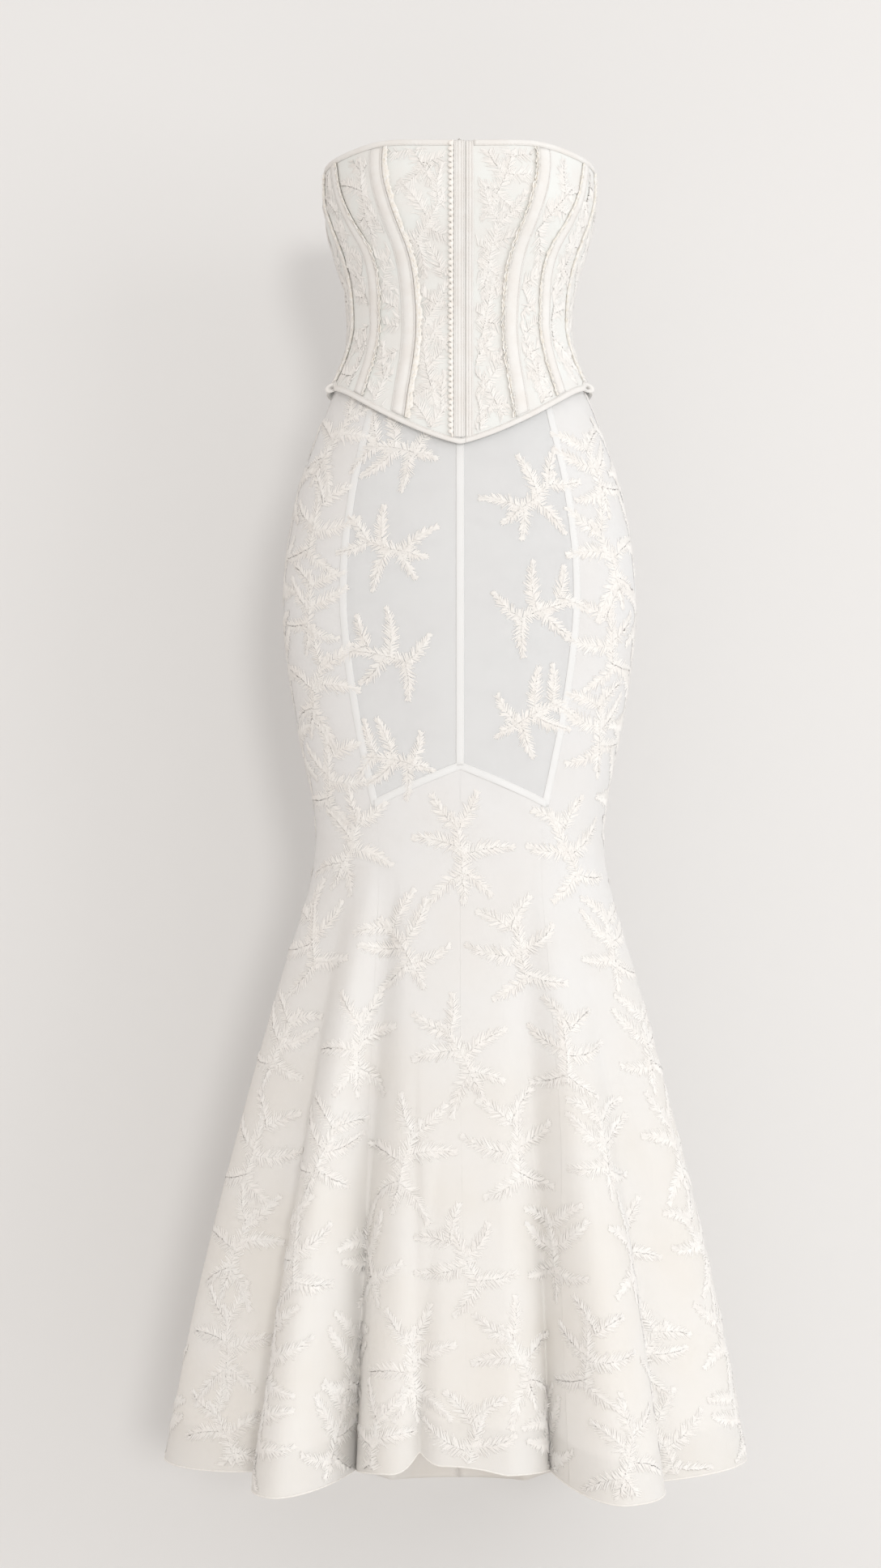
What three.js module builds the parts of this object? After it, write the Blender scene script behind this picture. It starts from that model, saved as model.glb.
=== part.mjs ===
// A strapless corset maxi dress, worn with no wearer: a boned corset with a dipped basque over a fitted
// skirt of gores that flares below the knee into deep rounded folds.
//
// Millimetres, +Z up. The origin is the middle of the waist, where the wearer holds the dress up. The front
// faces -Y and the dress's left in a front view is -X. Angles run round the body in degrees: 0 is the centre
// front, 90 the +X side and 180 the centre back.
import * as THREE from 'three';

// Cloth
const CORSET_WALL = 1.8;        // lined corset panel
const SKIRT_WALL = 1.5;         // skirt gore
const SEAM_GAP = 0.3;           // between neighbouring pieces
const LIFT = 0.3;               // between a panel and what lies on it
const SQUARENESS = 0.02;        // how far a section is from a plain ellipse

// Corset edges
const TOP_FRONT = 171.5;        // height of the top edge at the centre front
const TOP_CUP_RISE = 4;         // how much higher it is over each cup
const TOP_CUP_ANGLE = 32;
const TOP_CUP_SPREAD = 17;
const TOP_SIDE_DIP = 9;         // how much lower it is at the sides
const TOP_BACK_DIP = 16;        // and at the centre back
const BASQUE_POINT = -136;      // lowest point of the basque, at the centre front
const BASQUE_SIDE = -74;        // lower edge at the side seam
const BASQUE_BACK = -88;        // lower edge at the centre back
const VENT_RISE = 6;            // small vent in the lower edge at each side seam
const VENT_HALF_ANGLE = 6.5;
const CUP_ANGLE = 30;           // middle of each cup
const CUP_HEIGHT = 116;
const CUP_REACH = 7;
const CUP_ANGLE_SPREAD = 21;
const CUP_HEIGHT_SPREAD = 36;

// Corset trims
const EDGE_WIDTH = 5;           // bound top and lower edges
const EDGE_THICKNESS = 1.1;
const CASING_THICKNESS = 1.0;   // boning casings
const CASING_STOP = 7.8;        // how far short of the corset's edges they end
const FRAY_HEIGHT = 4.2;        // raw seam allowance that stands along each casing
const FRAY_THICKNESS = 1.3;
const FLY_LEFT = -6.5;          // front fly, as distances from the centre front
const FLY_RIGHT = 5;
const FLY_THICKNESS = 1.6;
const UNDER_BAND_RIGHT = 13.6;
const UNDER_BAND_THICKNESS = 1.1;
const SCALLOP_PITCH = 6.4;      // picot trim beside the fly
const SCALLOP_DEPTH = 2.2;
const SCALLOP_STEPS = 2;
const PICOT_WIDTH = 2.6;
const PICOT_THICKNESS = 1.5;
const BASQUE_CLEAR = 1;         // between the basque's bound edge and what ends above it
const HOOK_WIRE = 0.5;          // radius of the wire of the hook and of the eye
const HOOK_WIDTH = 3.2;
const HOOK_LENGTH = 7;
const HOOK_RISE = 2.6;          // how far the hook's bend stands above the top edge
const EYE_DROP = 3;             // how far the eye's bend stays below it
const HOOK_STEPS = 12;

// Skirt levels
const SKIRT_TOP = -6;
const KNEE_SEAM_FRONT = -464;   // apex of the knee seam, at the centre front
const KNEE_SEAM_SIDE = -503;    // where it meets the princess seams
const HEM_LEVEL = -1265;        // the lowest the hem reaches, at the centre back
const FOLD_GROWTH = 1.12;       // how a fold deepens on its way down

// How finely the surfaces are divided
const CORSET_ROWS = 13;
const UPPER_ROWS = 12;          // skirt, from the waist to the knee seam
const FLARE_ROWS = 12;          // and from there to the hem
const UPPER_SPACING = 1.45;     // rows are closer together at the waist
const FLARE_SPACING = 1.12;     // and where the flare begins
const STEPS_PER_FLANK = 3;      // columns between a crest and the valley beside it
const COLUMN_CLEAR = 1.5;       // degrees that a column keeps from a gore's seams
const SAMPLE_ANGLE = 0.4;       // degrees to each side at which a surface's slope is read
const SEAM_MEET = 0.15;         // degrees that two trims keep from the line where they meet

const CORSET_SECTIONS = [
  { z: 176, halfWidth: 138.5, front: 108, back: 90 },
  { z: 150, halfWidth: 141.5, front: 115, back: 92 },
  { z: 125, halfWidth: 142.5, front: 118, back: 93 },
  { z: 95, halfWidth: 138.5, front: 115, back: 92 },
  { z: 65, halfWidth: 130, front: 107, back: 89 },
  { z: 34, halfWidth: 121, front: 98, back: 85 },
  { z: 0, halfWidth: 117, front: 91.5, back: 82 },
  { z: -20, halfWidth: 118, front: 91, back: 83.5 },
  { z: -45, halfWidth: 125, front: 94, back: 90 },
  { z: -72, halfWidth: 137, front: 99.5, back: 99 },
  { z: -100, halfWidth: 149, front: 104.5, back: 108 },
  { z: -140, halfWidth: 163, front: 109, back: 117 },
];

const SKIRT_SECTIONS = [
  { z: -6, halfWidth: 114.3, front: 88.4, back: 79.4 },
  { z: -20, halfWidth: 114.8, front: 87.6, back: 80.2 },
  { z: -45, halfWidth: 121, front: 89.5, back: 86 },
  { z: -72, halfWidth: 131, front: 94, back: 94.5 },
  { z: -102, halfWidth: 143, front: 98.5, back: 104 },
  { z: -136, halfWidth: 155.5, front: 102.5, back: 112 },
  { z: -170, halfWidth: 167, front: 105.5, back: 119 },
  { z: -204, halfWidth: 174.5, front: 107, back: 124 },
  { z: -255, halfWidth: 182, front: 107.5, back: 128 },
  { z: -306, halfWidth: 184, front: 106, back: 127 },
  { z: -357, halfWidth: 179.5, front: 104, back: 122 },
  { z: -425, halfWidth: 169, front: 101, back: 114 },
  { z: -467, halfWidth: 160, front: 99.5, back: 110 },
  { z: -510, halfWidth: 152.5, front: 99, back: 108 },
  { z: -544, halfWidth: 151, front: 100, back: 108 },
  { z: -578, halfWidth: 155, front: 103, back: 111 },
  { z: -612, halfWidth: 163, front: 109, back: 117 },
  { z: -680, halfWidth: 184, front: 124, back: 133 },
  { z: -850, halfWidth: 226, front: 162, back: 173 },
  { z: -1020, halfWidth: 262, front: 193, back: 208 },
  { z: -1192, halfWidth: 290, front: 216, back: 238 },
  { z: -1265, halfWidth: 300, front: 224, back: 250 },
];

// Where the corset's seams run: an angle at each height.
const CORSET_SEAMS = {
  princess: [
    { z: 176, angle: 32.3 }, { z: 150, angle: 31.4 }, { z: 115, angle: 27.7 }, { z: 85, angle: 25 },
    { z: 55, angle: 22.4 }, { z: 15, angle: 21.4 }, { z: -26, angle: 21 }, { z: -110, angle: 20.5 },
  ],
  sideFront: [
    { z: 176, angle: 67 }, { z: 145, angle: 60 }, { z: 120, angle: 54.5 }, { z: 97, angle: 49 },
    { z: 70, angle: 43 }, { z: 50, angle: 41.3 }, { z: 0, angle: 42.6 }, { z: -90, angle: 42.3 },
  ],
  side: [
    { z: 176, angle: 86 }, { z: 119, angle: 76 }, { z: 88, angle: 69 }, { z: 57, angle: 66 },
    { z: 0, angle: 68.5 }, { z: -32, angle: 70.5 }, { z: -80, angle: 74 },
  ],
  sideBack: [{ z: 176, angle: 112 }, { z: 100, angle: 110 }, { z: 0, angle: 108 }, { z: -90, angle: 111 }],
  back: [{ z: 176, angle: 142 }, { z: 100, angle: 144 }, { z: 0, angle: 149 }, { z: -90, angle: 147 }],
};

const SKIRT_SEAMS = {
  princess: [
    { z: -6, angle: 38.4 }, { z: -136, angle: 37.8 }, { z: -255, angle: 38.5 }, { z: -357, angle: 37.4 },
    { z: -467, angle: 34.4 }, { z: -510, angle: 32.4 }, { z: -561, angle: 30.9 }, { z: -680, angle: 27.4 },
    { z: -850, angle: 25.6 }, { z: -970, angle: 24 }, { z: -1265, angle: 24 },
  ],
  side: [{ z: -6, angle: 90 }, { z: -1265, angle: 90 }],
  back: [{ z: -6, angle: 141 }, { z: -500, angle: 145 }, { z: -1265, angle: 150 }],
};

// The folds of the flare, round the hem from the left side over the front to the right side and on round the
// back. reach is how far the cloth stands out of (or in from) the plain bell, hem the height of the hem there,
// start the height at which the fold begins, and pinch how far the flanks lean over the valley beside them.
const FOLDS = [
  { angle: -180, kind: 'crest', reach: 18, hem: -1264, start: -620, pinch: 0.2 },
  { angle: -166, kind: 'valley', reach: -34, hem: -1255, start: -620, pinch: 0.2 },
  { angle: -149, kind: 'crest', reach: 22, hem: -1247, start: -600, pinch: 0.22 },
  { angle: -133, kind: 'valley', reach: -36, hem: -1232, start: -600, pinch: 0.2 },
  { angle: -114, kind: 'crest', reach: 22, hem: -1214, start: -590, pinch: 0.2 },
  { angle: -97, kind: 'valley', reach: -24, hem: -1196, start: -600, pinch: 0.15 },
  { angle: -77, kind: 'crest', reach: 24, hem: -1181, start: -570, pinch: 0.16 },
  { angle: -47, kind: 'valley', reach: -40, hem: -1180, start: -550, pinch: 0.22 },
  { angle: -34.5, kind: 'crest', reach: 36, hem: -1188, start: -550, pinch: 0.24 },
  { angle: -24, kind: 'valley', reach: -74, hem: -1177, start: -575, pinch: 0.28 },
  { angle: -13, kind: 'crest', reach: -4, hem: -1167, start: -700, pinch: 0.22 },
  { angle: -8, kind: 'valley', reach: -24, hem: -1149, start: -880, pinch: 0.18 },
  { angle: -3.2, kind: 'crest', reach: -8, hem: -1159, start: -800, pinch: 0.18 },
  { angle: 9, kind: 'crest', reach: -2, hem: -1167, start: -700, pinch: 0.15 },
  { angle: 19, kind: 'valley', reach: -52, hem: -1172, start: -620, pinch: 0.3 },
  { angle: 29.5, kind: 'crest', reach: 38, hem: -1193, start: -560, pinch: 0.26 },
  { angle: 46, kind: 'valley', reach: -28, hem: -1188, start: -580, pinch: 0.24 },
  { angle: 74, kind: 'crest', reach: 16, hem: -1181, start: -580, pinch: 0.18 },
  { angle: 96, kind: 'valley', reach: -24, hem: -1193, start: -600, pinch: 0.15 },
  { angle: 115, kind: 'crest', reach: 22, hem: -1215, start: -590, pinch: 0.2 },
  { angle: 132, kind: 'valley', reach: -34, hem: -1231, start: -600, pinch: 0.2 },
  { angle: 150, kind: 'crest', reach: 20, hem: -1247, start: -600, pinch: 0.22 },
  { angle: 166, kind: 'valley', reach: -32, hem: -1256, start: -620, pinch: 0.2 },
  { angle: 180, kind: 'crest', reach: 18, hem: -1264, start: -620, pinch: 0.2 },
];

const corsetCloth = new THREE.MeshStandardMaterial({ color: 0xebe5de, roughness: 0.8, metalness: 0 });
const tape = new THREE.MeshStandardMaterial({ color: 0xf2eee8, roughness: 0.7, metalness: 0 });
const frill = new THREE.MeshStandardMaterial({ color: 0xf0e8dc, roughness: 0.9, metalness: 0 });
const voile = new THREE.MeshStandardMaterial({ color: 0xf1ede6, roughness: 0.85, metalness: 0 });
const metal = new THREE.MeshStandardMaterial({ color: 0xb9b5ae, roughness: 0.35, metalness: 1 });

const radians = (degrees) => (degrees * Math.PI) / 180;
const lerp = (a, b, share) => a + (b - a) * share;
const clamp01 = (value) => Math.min(1, Math.max(0, value));
const ease = (share) => (1 - Math.cos(Math.PI * share)) / 2;

// One column of a table, as a smooth curve through its rows. The rows run downwards.
function along(table, column, z) {
  const last = table.length - 1;
  if (z >= table[0].z) return table[0][column];
  if (z <= table[last].z) return table[last][column];
  let i = 0;
  while (z < table[i + 1].z) i += 1;
  const slope = (a, b) => (table[b][column] - table[a][column]) / (table[b].z - table[a].z);
  const step = table[i + 1].z - table[i].z;
  const here = slope(Math.max(0, i - 1), Math.min(last, i + 1)) * step;
  const next = slope(i, Math.min(last, i + 2)) * step;
  const t = (z - table[i].z) / step;
  const a = table[i][column];
  const b = table[i + 1][column];
  return a + t * (here + t * (3 * (b - a) - 2 * here - next + t * (2 * (a - b) + here + next)));
}

// A point of a plain horizontal section of the body.
function sectionPoint(sections, angle, z) {
  const phi = radians(angle);
  const across = (Math.sin(phi) + SQUARENESS * Math.sin(3 * phi)) / (1 - SQUARENESS);
  const forward = (Math.cos(phi) - SQUARENESS * Math.cos(3 * phi)) / (1 - SQUARENESS);
  const depth = forward > 0 ? along(sections, 'front', z) : along(sections, 'back', z);
  return new THREE.Vector3(along(sections, 'halfWidth', z) * across, -depth * forward, z);
}

// 1 at no distance, falling off smoothly over the spread.
const bell = (distance, spread) => Math.exp(-((distance / spread) ** 2));

function corsetPoint(angle, z) {
  const point = sectionPoint(CORSET_SECTIONS, angle, z);
  const cup = CUP_REACH * bell(Math.abs(angle) - CUP_ANGLE, CUP_ANGLE_SPREAD)
    * bell(z - CUP_HEIGHT, CUP_HEIGHT_SPREAD);
  const out = new THREE.Vector3(point.x, point.y, 0).normalize();
  return point.addScaledVector(out, cup);
}

// What the fold table says at an angle: smooth between its rows.
function foldAt(angle) {
  let i = 0;
  while (i < FOLDS.length - 2 && angle > FOLDS[i + 1].angle) i += 1;
  const a = FOLDS[i];
  const b = FOLDS[i + 1];
  const share = clamp01((angle - a.angle) / (b.angle - a.angle));
  const mix = ease(share);
  const towardsValley = a.kind === 'crest' ? 1 : -1;
  const lean = lerp(a.pinch, b.pinch, mix) * Math.sin(Math.PI * share) * towardsValley;
  return {
    reach: lerp(a.reach, b.reach, mix),
    hem: lerp(a.hem, b.hem, mix),
    start: lerp(a.start, b.start, mix),
    leanAngle: lean * (b.angle - a.angle),
  };
}

function skirtPoint(angle, z) {
  const fold = foldAt(angle);
  const growth = clamp01((fold.start - z) / (fold.start - fold.hem)) ** FOLD_GROWTH;
  const leaned = angle + fold.leanAngle * growth;
  const point = sectionPoint(SKIRT_SECTIONS, leaned, z);
  const ahead = sectionPoint(SKIRT_SECTIONS, leaned + SAMPLE_ANGLE, z);
  const behind = sectionPoint(SKIRT_SECTIONS, leaned - SAMPLE_ANGLE, z);
  const tangent = ahead.sub(behind).normalize();
  const out = new THREE.Vector3(tangent.y, -tangent.x, 0);
  return point.addScaledVector(out, fold.reach * growth);
}

// The outward normal of a surface, from its neighbours.
function normalOf(surface, angle, z) {
  const round = surface(angle + SAMPLE_ANGLE, z).sub(surface(angle - SAMPLE_ANGLE, z));
  const up = surface(angle, z + 1).sub(surface(angle, z - 1));
  return round.cross(up).normalize();
}

const degreesPerMillimetre = (surface, angle, z) =>
  2 * SAMPLE_ANGLE / surface(angle + SAMPLE_ANGLE, z).distanceTo(surface(angle - SAMPLE_ANGLE, z));

// Edges of the corset.
const topEdge = (angle) => {
  const side = Math.sin(radians(angle)) ** 2;
  const behind = (1 - Math.cos(radians(angle))) / 2;
  const cup = TOP_CUP_RISE * bell(Math.abs(angle) - TOP_CUP_ANGLE, TOP_CUP_SPREAD);
  return TOP_FRONT + cup - TOP_SIDE_DIP * side - TOP_BACK_DIP * behind ** 2;
};

function lowerEdge(angle) {
  const size = Math.abs(angle);
  const side = along(CORSET_SEAMS.side, 'angle', BASQUE_SIDE);
  const vent = VENT_RISE * Math.max(0, 1 - Math.abs(size - side) / VENT_HALF_ANGLE);
  if (size < side) return lerp(BASQUE_POINT, BASQUE_SIDE, Math.sin(radians((90 * size) / side)) ** 1.25) + vent;
  return lerp(BASQUE_SIDE, BASQUE_BACK, ease((size - side) / (180 - side))) + vent;
}

// Rows of points down every corset panel, and the height of the point at a share of the way down.
const rowShare = (j, rows) => j / (rows - 1);
const corsetHeight = (angle, share) => lerp(topEdge(angle), lowerEdge(angle), share);

// The outside of the panels as they are built, straight from row to row. The trims lie on this.
function panelPoint(angle, z) {
  const share = clamp01((topEdge(angle) - z) / (topEdge(angle) - lowerEdge(angle))) * (CORSET_ROWS - 1);
  const row = Math.min(CORSET_ROWS - 2, Math.floor(share));
  const above = corsetPoint(angle, corsetHeight(angle, rowShare(row, CORSET_ROWS)));
  const below = corsetPoint(angle, corsetHeight(angle, rowShare(row + 1, CORSET_ROWS)));
  return above.lerp(below, share - row);
}

// A closed solid from points and triangles, with its faces pointing out.
function solid(name, points, triangles, material) {
  let volume = 0;
  for (const [a, b, c] of triangles) {
    volume += points[a].dot(new THREE.Vector3().crossVectors(points[b], points[c]));
  }
  const faces = volume < 0 ? triangles.map(([a, b, c]) => [a, c, b]) : triangles;
  const geometry = new THREE.BufferGeometry();
  geometry.setAttribute('position', new THREE.Float32BufferAttribute(points.flatMap((p) => p.toArray()), 3));
  geometry.setIndex(faces.flat());
  geometry.computeVertexNormals();
  const mesh = new THREE.Mesh(geometry, material);
  mesh.name = name;
  return mesh;
}

// A cloth wall: a grid of outer points and the same grid moved in by the wall's thickness.
function wall(name, surface, columns, rows, place, thickness, material) {
  const outer = [];
  const inner = [];
  for (let j = 0; j < rows; j += 1) {
    for (let i = 0; i < columns; i += 1) {
      const { angle, z } = place(i, j);
      const point = surface(angle, z);
      outer.push(point);
      inner.push(point.clone().addScaledVector(normalOf(surface, angle, z), -thickness));
    }
  }
  const count = columns * rows;
  const triangles = [];
  const quad = (a, b, c, d) => triangles.push([a, b, c], [a, c, d]);
  for (let j = 0; j + 1 < rows; j += 1) {
    for (let i = 0; i + 1 < columns; i += 1) {
      const a = j * columns + i;
      quad(a, a + 1, a + 1 + columns, a + columns);
      quad(count + a, count + a + columns, count + a + 1 + columns, count + a + 1);
    }
  }
  const rim = [];
  for (let i = 0; i + 1 < columns; i += 1) rim.push([i, i + 1]);
  for (let j = 0; j + 1 < rows; j += 1) rim.push([(j + 1) * columns - 1, (j + 2) * columns - 1]);
  for (let i = columns - 1; i > 0; i -= 1) rim.push([(rows - 1) * columns + i, (rows - 1) * columns + i - 1]);
  for (let j = rows - 1; j > 0; j -= 1) rim.push([j * columns, (j - 1) * columns]);
  for (const [a, b] of rim) quad(b, a, count + a, count + b);
  return solid(name, [...outer, ...inner], triangles, material);
}

// The corners of a strip's cross-section.
const rectangle = (left, right, low, high) => [
  { across: left, height: low },
  { across: right, height: low },
  { across: right, height: high },
  { across: left, height: high },
];

// A trim: a profile of distances across and heights above the panels, carried down a path on them.
function trim(name, path, profile, material) {
  const points = [];
  for (const { angle, share } of path) {
    const degrees = degreesPerMillimetre(corsetPoint, angle, corsetHeight(angle, share));
    for (const { across, height } of profile) {
      const turned = angle + across * degrees;
      const z = corsetHeight(turned, share);
      points.push(panelPoint(turned, z).addScaledVector(normalOf(corsetPoint, turned, z), height));
    }
  }
  return ringSolid(name, points, profile, material);
}

// Rings of equal length joined in order, with both ends capped. The outline is one ring drawn flat.
function ringSolid(name, points, outline, material) {
  const size = outline.length;
  const rings = points.length / size;
  const triangles = [];
  for (let j = 0; j + 1 < rings; j += 1) {
    for (let i = 0; i < size; i += 1) {
      const a = j * size + i;
      const b = j * size + ((i + 1) % size);
      triangles.push([a, b, b + size], [a, b + size, a + size]);
    }
  }
  const flat = outline.map(({ across, height }) => new THREE.Vector2(across, height));
  const clockwise = THREE.ShapeUtils.isClockWise(flat);
  const last = (rings - 1) * size;
  for (const [a, b, c] of THREE.ShapeUtils.triangulateShape(flat, [])) {
    const [p, q, r] = clockwise ? [a, c, b] : [a, b, c];
    triangles.push([r, q, p], [last + p, last + q, last + r]);
  }
  return solid(name, points, triangles, material);
}

// The corset: six panels on each side of the centre front.
const CORSET_PANELS = [
  { name: 'front', from: 'centreFront', to: 'princess', columns: 6 },
  { name: 'cup_side', from: 'princess', to: 'sideFront', columns: 6 },
  { name: 'side_front', from: 'sideFront', to: 'side', columns: 5 },
  { name: 'side_back', from: 'side', to: 'sideBack', columns: 7 },
  { name: 'back_side', from: 'sideBack', to: 'back', columns: 6 },
  { name: 'back', from: 'back', to: 'centreBack', columns: 6 },
];

function corsetSeamAngle(seam, z) {
  if (seam === 'centreFront') return 0;
  if (seam === 'centreBack') return 180;
  return along(CORSET_SEAMS[seam], 'angle', z);
}

function corsetPanel(panel, side) {
  const sign = side === 'left' ? -1 : 1;
  const place = (i, j) => {
    const share = rowShare(j, CORSET_ROWS);
    const rough = corsetSeamAngle(panel.to, corsetHeight(0, share));
    const guess = corsetHeight(rough, share);
    const startZ = corsetHeight(corsetSeamAngle(panel.from, guess), share);
    const endZ = corsetHeight(corsetSeamAngle(panel.to, guess), share);
    const start = corsetSeamAngle(panel.from, startZ);
    const end = corsetSeamAngle(panel.to, endZ);
    const gap = (SEAM_GAP / 2) * degreesPerMillimetre(corsetPoint, (start + end) / 2, guess);
    const angle = lerp(start + gap, end - gap, i / (panel.columns - 1));
    return { angle: sign * angle, z: corsetHeight(angle, share) };
  };
  const name = `corset_${panel.name}_${side}`;
  return wall(name, corsetPoint, panel.columns, CORSET_ROWS, place, CORSET_WALL, corsetCloth);
}

// A path down a corset seam on the panels' own rows, short of the edges by the distances given.
function corsetSeamPath(seam, sign, above = CASING_STOP, below = CASING_STOP) {
  const length = TOP_FRONT - (seam === 'centreFront' ? BASQUE_POINT : BASQUE_SIDE);
  const shares = Array.from({ length: CORSET_ROWS }, (unused, j) => rowShare(j, CORSET_ROWS));
  shares[0] = above / length;
  shares[CORSET_ROWS - 1] = 1 - below / length;
  return shares.map((share) => {
    let angle = corsetSeamAngle(seam, corsetHeight(0, share));
    for (let pass = 0; pass < 3; pass += 1) angle = corsetSeamAngle(seam, corsetHeight(angle, share));
    return { angle: sign * angle, share };
  });
}

// A boning casing, with the raw seam allowance standing along its edge nearer the centre front.
function casing(seam, side, width) {
  const sign = side === 'left' ? -1 : 1;
  const profile = [
    { across: -FRAY_THICKNESS, height: LIFT },
    { across: width * 0.5, height: LIFT },
    { across: width, height: LIFT },
    { across: width, height: LIFT + CASING_THICKNESS },
    { across: width * 0.5, height: LIFT + CASING_THICKNESS * 1.5 },
    { across: 0.5, height: LIFT + CASING_THICKNESS },
    { across: 0, height: LIFT + FRAY_HEIGHT },
    { across: -FRAY_THICKNESS, height: LIFT + FRAY_HEIGHT },
  ].map((p) => ({ across: sign * p.across, height: p.height }));
  return trim(`casing_${seam}_${side}`, corsetSeamPath(seam, sign), profile, tape);
}

function backCasing(width) {
  const profile = [
    { across: -width / 2, height: LIFT },
    { across: 0, height: LIFT },
    { across: width / 2, height: LIFT },
    { across: width / 2, height: LIFT + CASING_THICKNESS },
    { across: 0, height: LIFT + CASING_THICKNESS * 1.5 },
    { across: -width / 2, height: LIFT + CASING_THICKNESS },
  ];
  return trim('casing_centre_back', corsetSeamPath('centreBack', 1), profile, tape);
}

// A flat band down the centre front, between two distances from it.
function frontBand(name, left, right, thickness, above, below, material) {
  const profile = rectangle(left, right, LIFT, LIFT + thickness);
  return trim(name, corsetSeamPath('centreFront', 1, above, below), profile, material);
}

// The picot trim along the fly: a flat strip with a scalloped left edge.
function picotTrim() {
  const outerAngle = (FLY_LEFT - PICOT_WIDTH - SCALLOP_DEPTH) * degreesPerMillimetre(corsetPoint, 0, 0);
  const top = TOP_FRONT - EDGE_WIDTH - SEAM_GAP;
  const bottom = lowerEdge(outerAngle) + EDGE_WIDTH + BASQUE_CLEAR;
  const scallops = Math.round((top - bottom) / SCALLOP_PITCH);
  const steps = scallops * SCALLOP_STEPS;
  const right = FLY_LEFT - SEAM_GAP;
  const points = [];
  for (let j = 0; j <= steps; j += 1) {
    const z = lerp(top, bottom, j / steps);
    const swell = Math.abs(Math.sin((Math.PI * j) / SCALLOP_STEPS));
    const left = right - PICOT_WIDTH - SCALLOP_DEPTH * swell;
    for (const { across, height } of rectangle(left, right, LIFT, LIFT + PICOT_THICKNESS)) {
      const angle = across * degreesPerMillimetre(corsetPoint, 0, z);
      points.push(panelPoint(angle, z).addScaledVector(normalOf(corsetPoint, angle, z), height));
    }
  }
  return ringSolid('picot_trim', points, rectangle(0, 1, 0, 1), frill);
}

// A bound edge: a narrow strip on the outside of the corset, along its top or its lower edge.
function boundEdge(name, edge, inward, from, to, steps) {
  const points = [];
  const outline = rectangle(0, EDGE_WIDTH, LIFT, LIFT + EDGE_THICKNESS);
  const angles = Array.from({ length: steps + 1 }, (unused, j) => lerp(from, to, j / steps));
  const ventSide = Math.sign(to) * (along(CORSET_SEAMS.side, 'angle', BASQUE_SIDE) + VENT_HALF_ANGLE);
  const ventFront = ventSide - 2 * Math.sign(to) * VENT_HALF_ANGLE;
  const inside = (stop) => (stop - from) * (stop - to) < 0 && edge === lowerEdge;
  angles.push(...[ventSide, ventFront].filter(inside));
  angles.sort((a, b) => (a - b) * Math.sign(to - from));
  for (const angle of angles) {
    const z = edge(angle);
    for (const { across, height } of outline) {
      const level = z + inward * across;
      points.push(panelPoint(angle, level).addScaledVector(normalOf(corsetPoint, angle, level), height));
    }
  }
  return ringSolid(name, points, outline, tape);
}

// A bent wire: a tube of six sides along a path of points.
function wire(name, path) {
  const curve = new THREE.CatmullRomCurve3(path, false, 'catmullrom', 0.3);
  const section = new THREE.Shape();
  section.absarc(0, 0, HOOK_WIRE, 0, Math.PI * 2);
  const options = { steps: HOOK_STEPS, bevelEnabled: false, extrudePath: curve, curveSegments: 3 };
  const mesh = new THREE.Mesh(new THREE.ExtrudeGeometry(section, options), metal);
  mesh.name = name;
  return mesh;
}

// The hook behind the fly, whose bend shows above the top edge, and the eye behind the band beside it.
function hookAndEye() {
  const loop = (centre, bend) => {
    const at = (x, z) => {
      const face = panelPoint(0, z).y + CORSET_WALL;
      return new THREE.Vector3(x, face + 3 * LIFT + HOOK_WIRE, z);
    };
    const top = bend - HOOK_WIDTH / 2;
    return [
      at(centre - HOOK_WIDTH / 2, top - HOOK_LENGTH),
      at(centre - HOOK_WIDTH / 2, top),
      at(centre, bend),
      at(centre + HOOK_WIDTH / 2, top),
      at(centre + HOOK_WIDTH / 2, top - HOOK_LENGTH),
    ];
  };
  return [
    wire('hook', loop((FLY_LEFT + FLY_RIGHT) / 2, TOP_FRONT + HOOK_RISE)),
    wire('eye', loop((FLY_RIGHT + UNDER_BAND_RIGHT) / 2, TOP_FRONT - EYE_DROP)),
  ];
}

// The skirt: gores whose columns follow the folds and whose rows are shared along every seam.
function skirtSeamAngle(seam, z) {
  if (seam === 'centreFront') return 0;
  if (seam === 'centreBack') return 180;
  return along(SKIRT_SEAMS[seam], 'angle', z);
}

// Shares across a gore at which its columns run: at each crest and valley, and between them.
function goreColumns(from, to, sign) {
  const low = skirtSeamAngle(from, HEM_LEVEL);
  const high = skirtSeamAngle(to, HEM_LEVEL);
  const stops = [low, high];
  for (let i = 0; i + 1 < FOLDS.length; i += 1) {
    for (let k = 0; k < STEPS_PER_FLANK; k += 1) {
      const angle = sign * lerp(FOLDS[i].angle, FOLDS[i + 1].angle, k / STEPS_PER_FLANK);
      if (angle > low + COLUMN_CLEAR && angle < high - COLUMN_CLEAR) stops.push(angle);
    }
  }
  return stops.sort((a, b) => a - b).map((angle) => (angle - low) / (high - low));
}

const kneeSeam = (angle) => {
  const princess = skirtSeamAngle('princess', KNEE_SEAM_SIDE);
  return lerp(KNEE_SEAM_FRONT, KNEE_SEAM_SIDE, clamp01(Math.abs(angle) / princess));
};

// Height of row j: from the waist to the knee seam, and from there to the hem.
function skirtHeight(angle, j) {
  const knee = kneeSeam(angle);
  if (j < UPPER_ROWS) return lerp(SKIRT_TOP, knee, rowShare(j, UPPER_ROWS) ** UPPER_SPACING);
  const share = ((j - UPPER_ROWS + 1) / FLARE_ROWS) ** FLARE_SPACING;
  return lerp(knee, foldAt(angle).hem, share);
}

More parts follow.
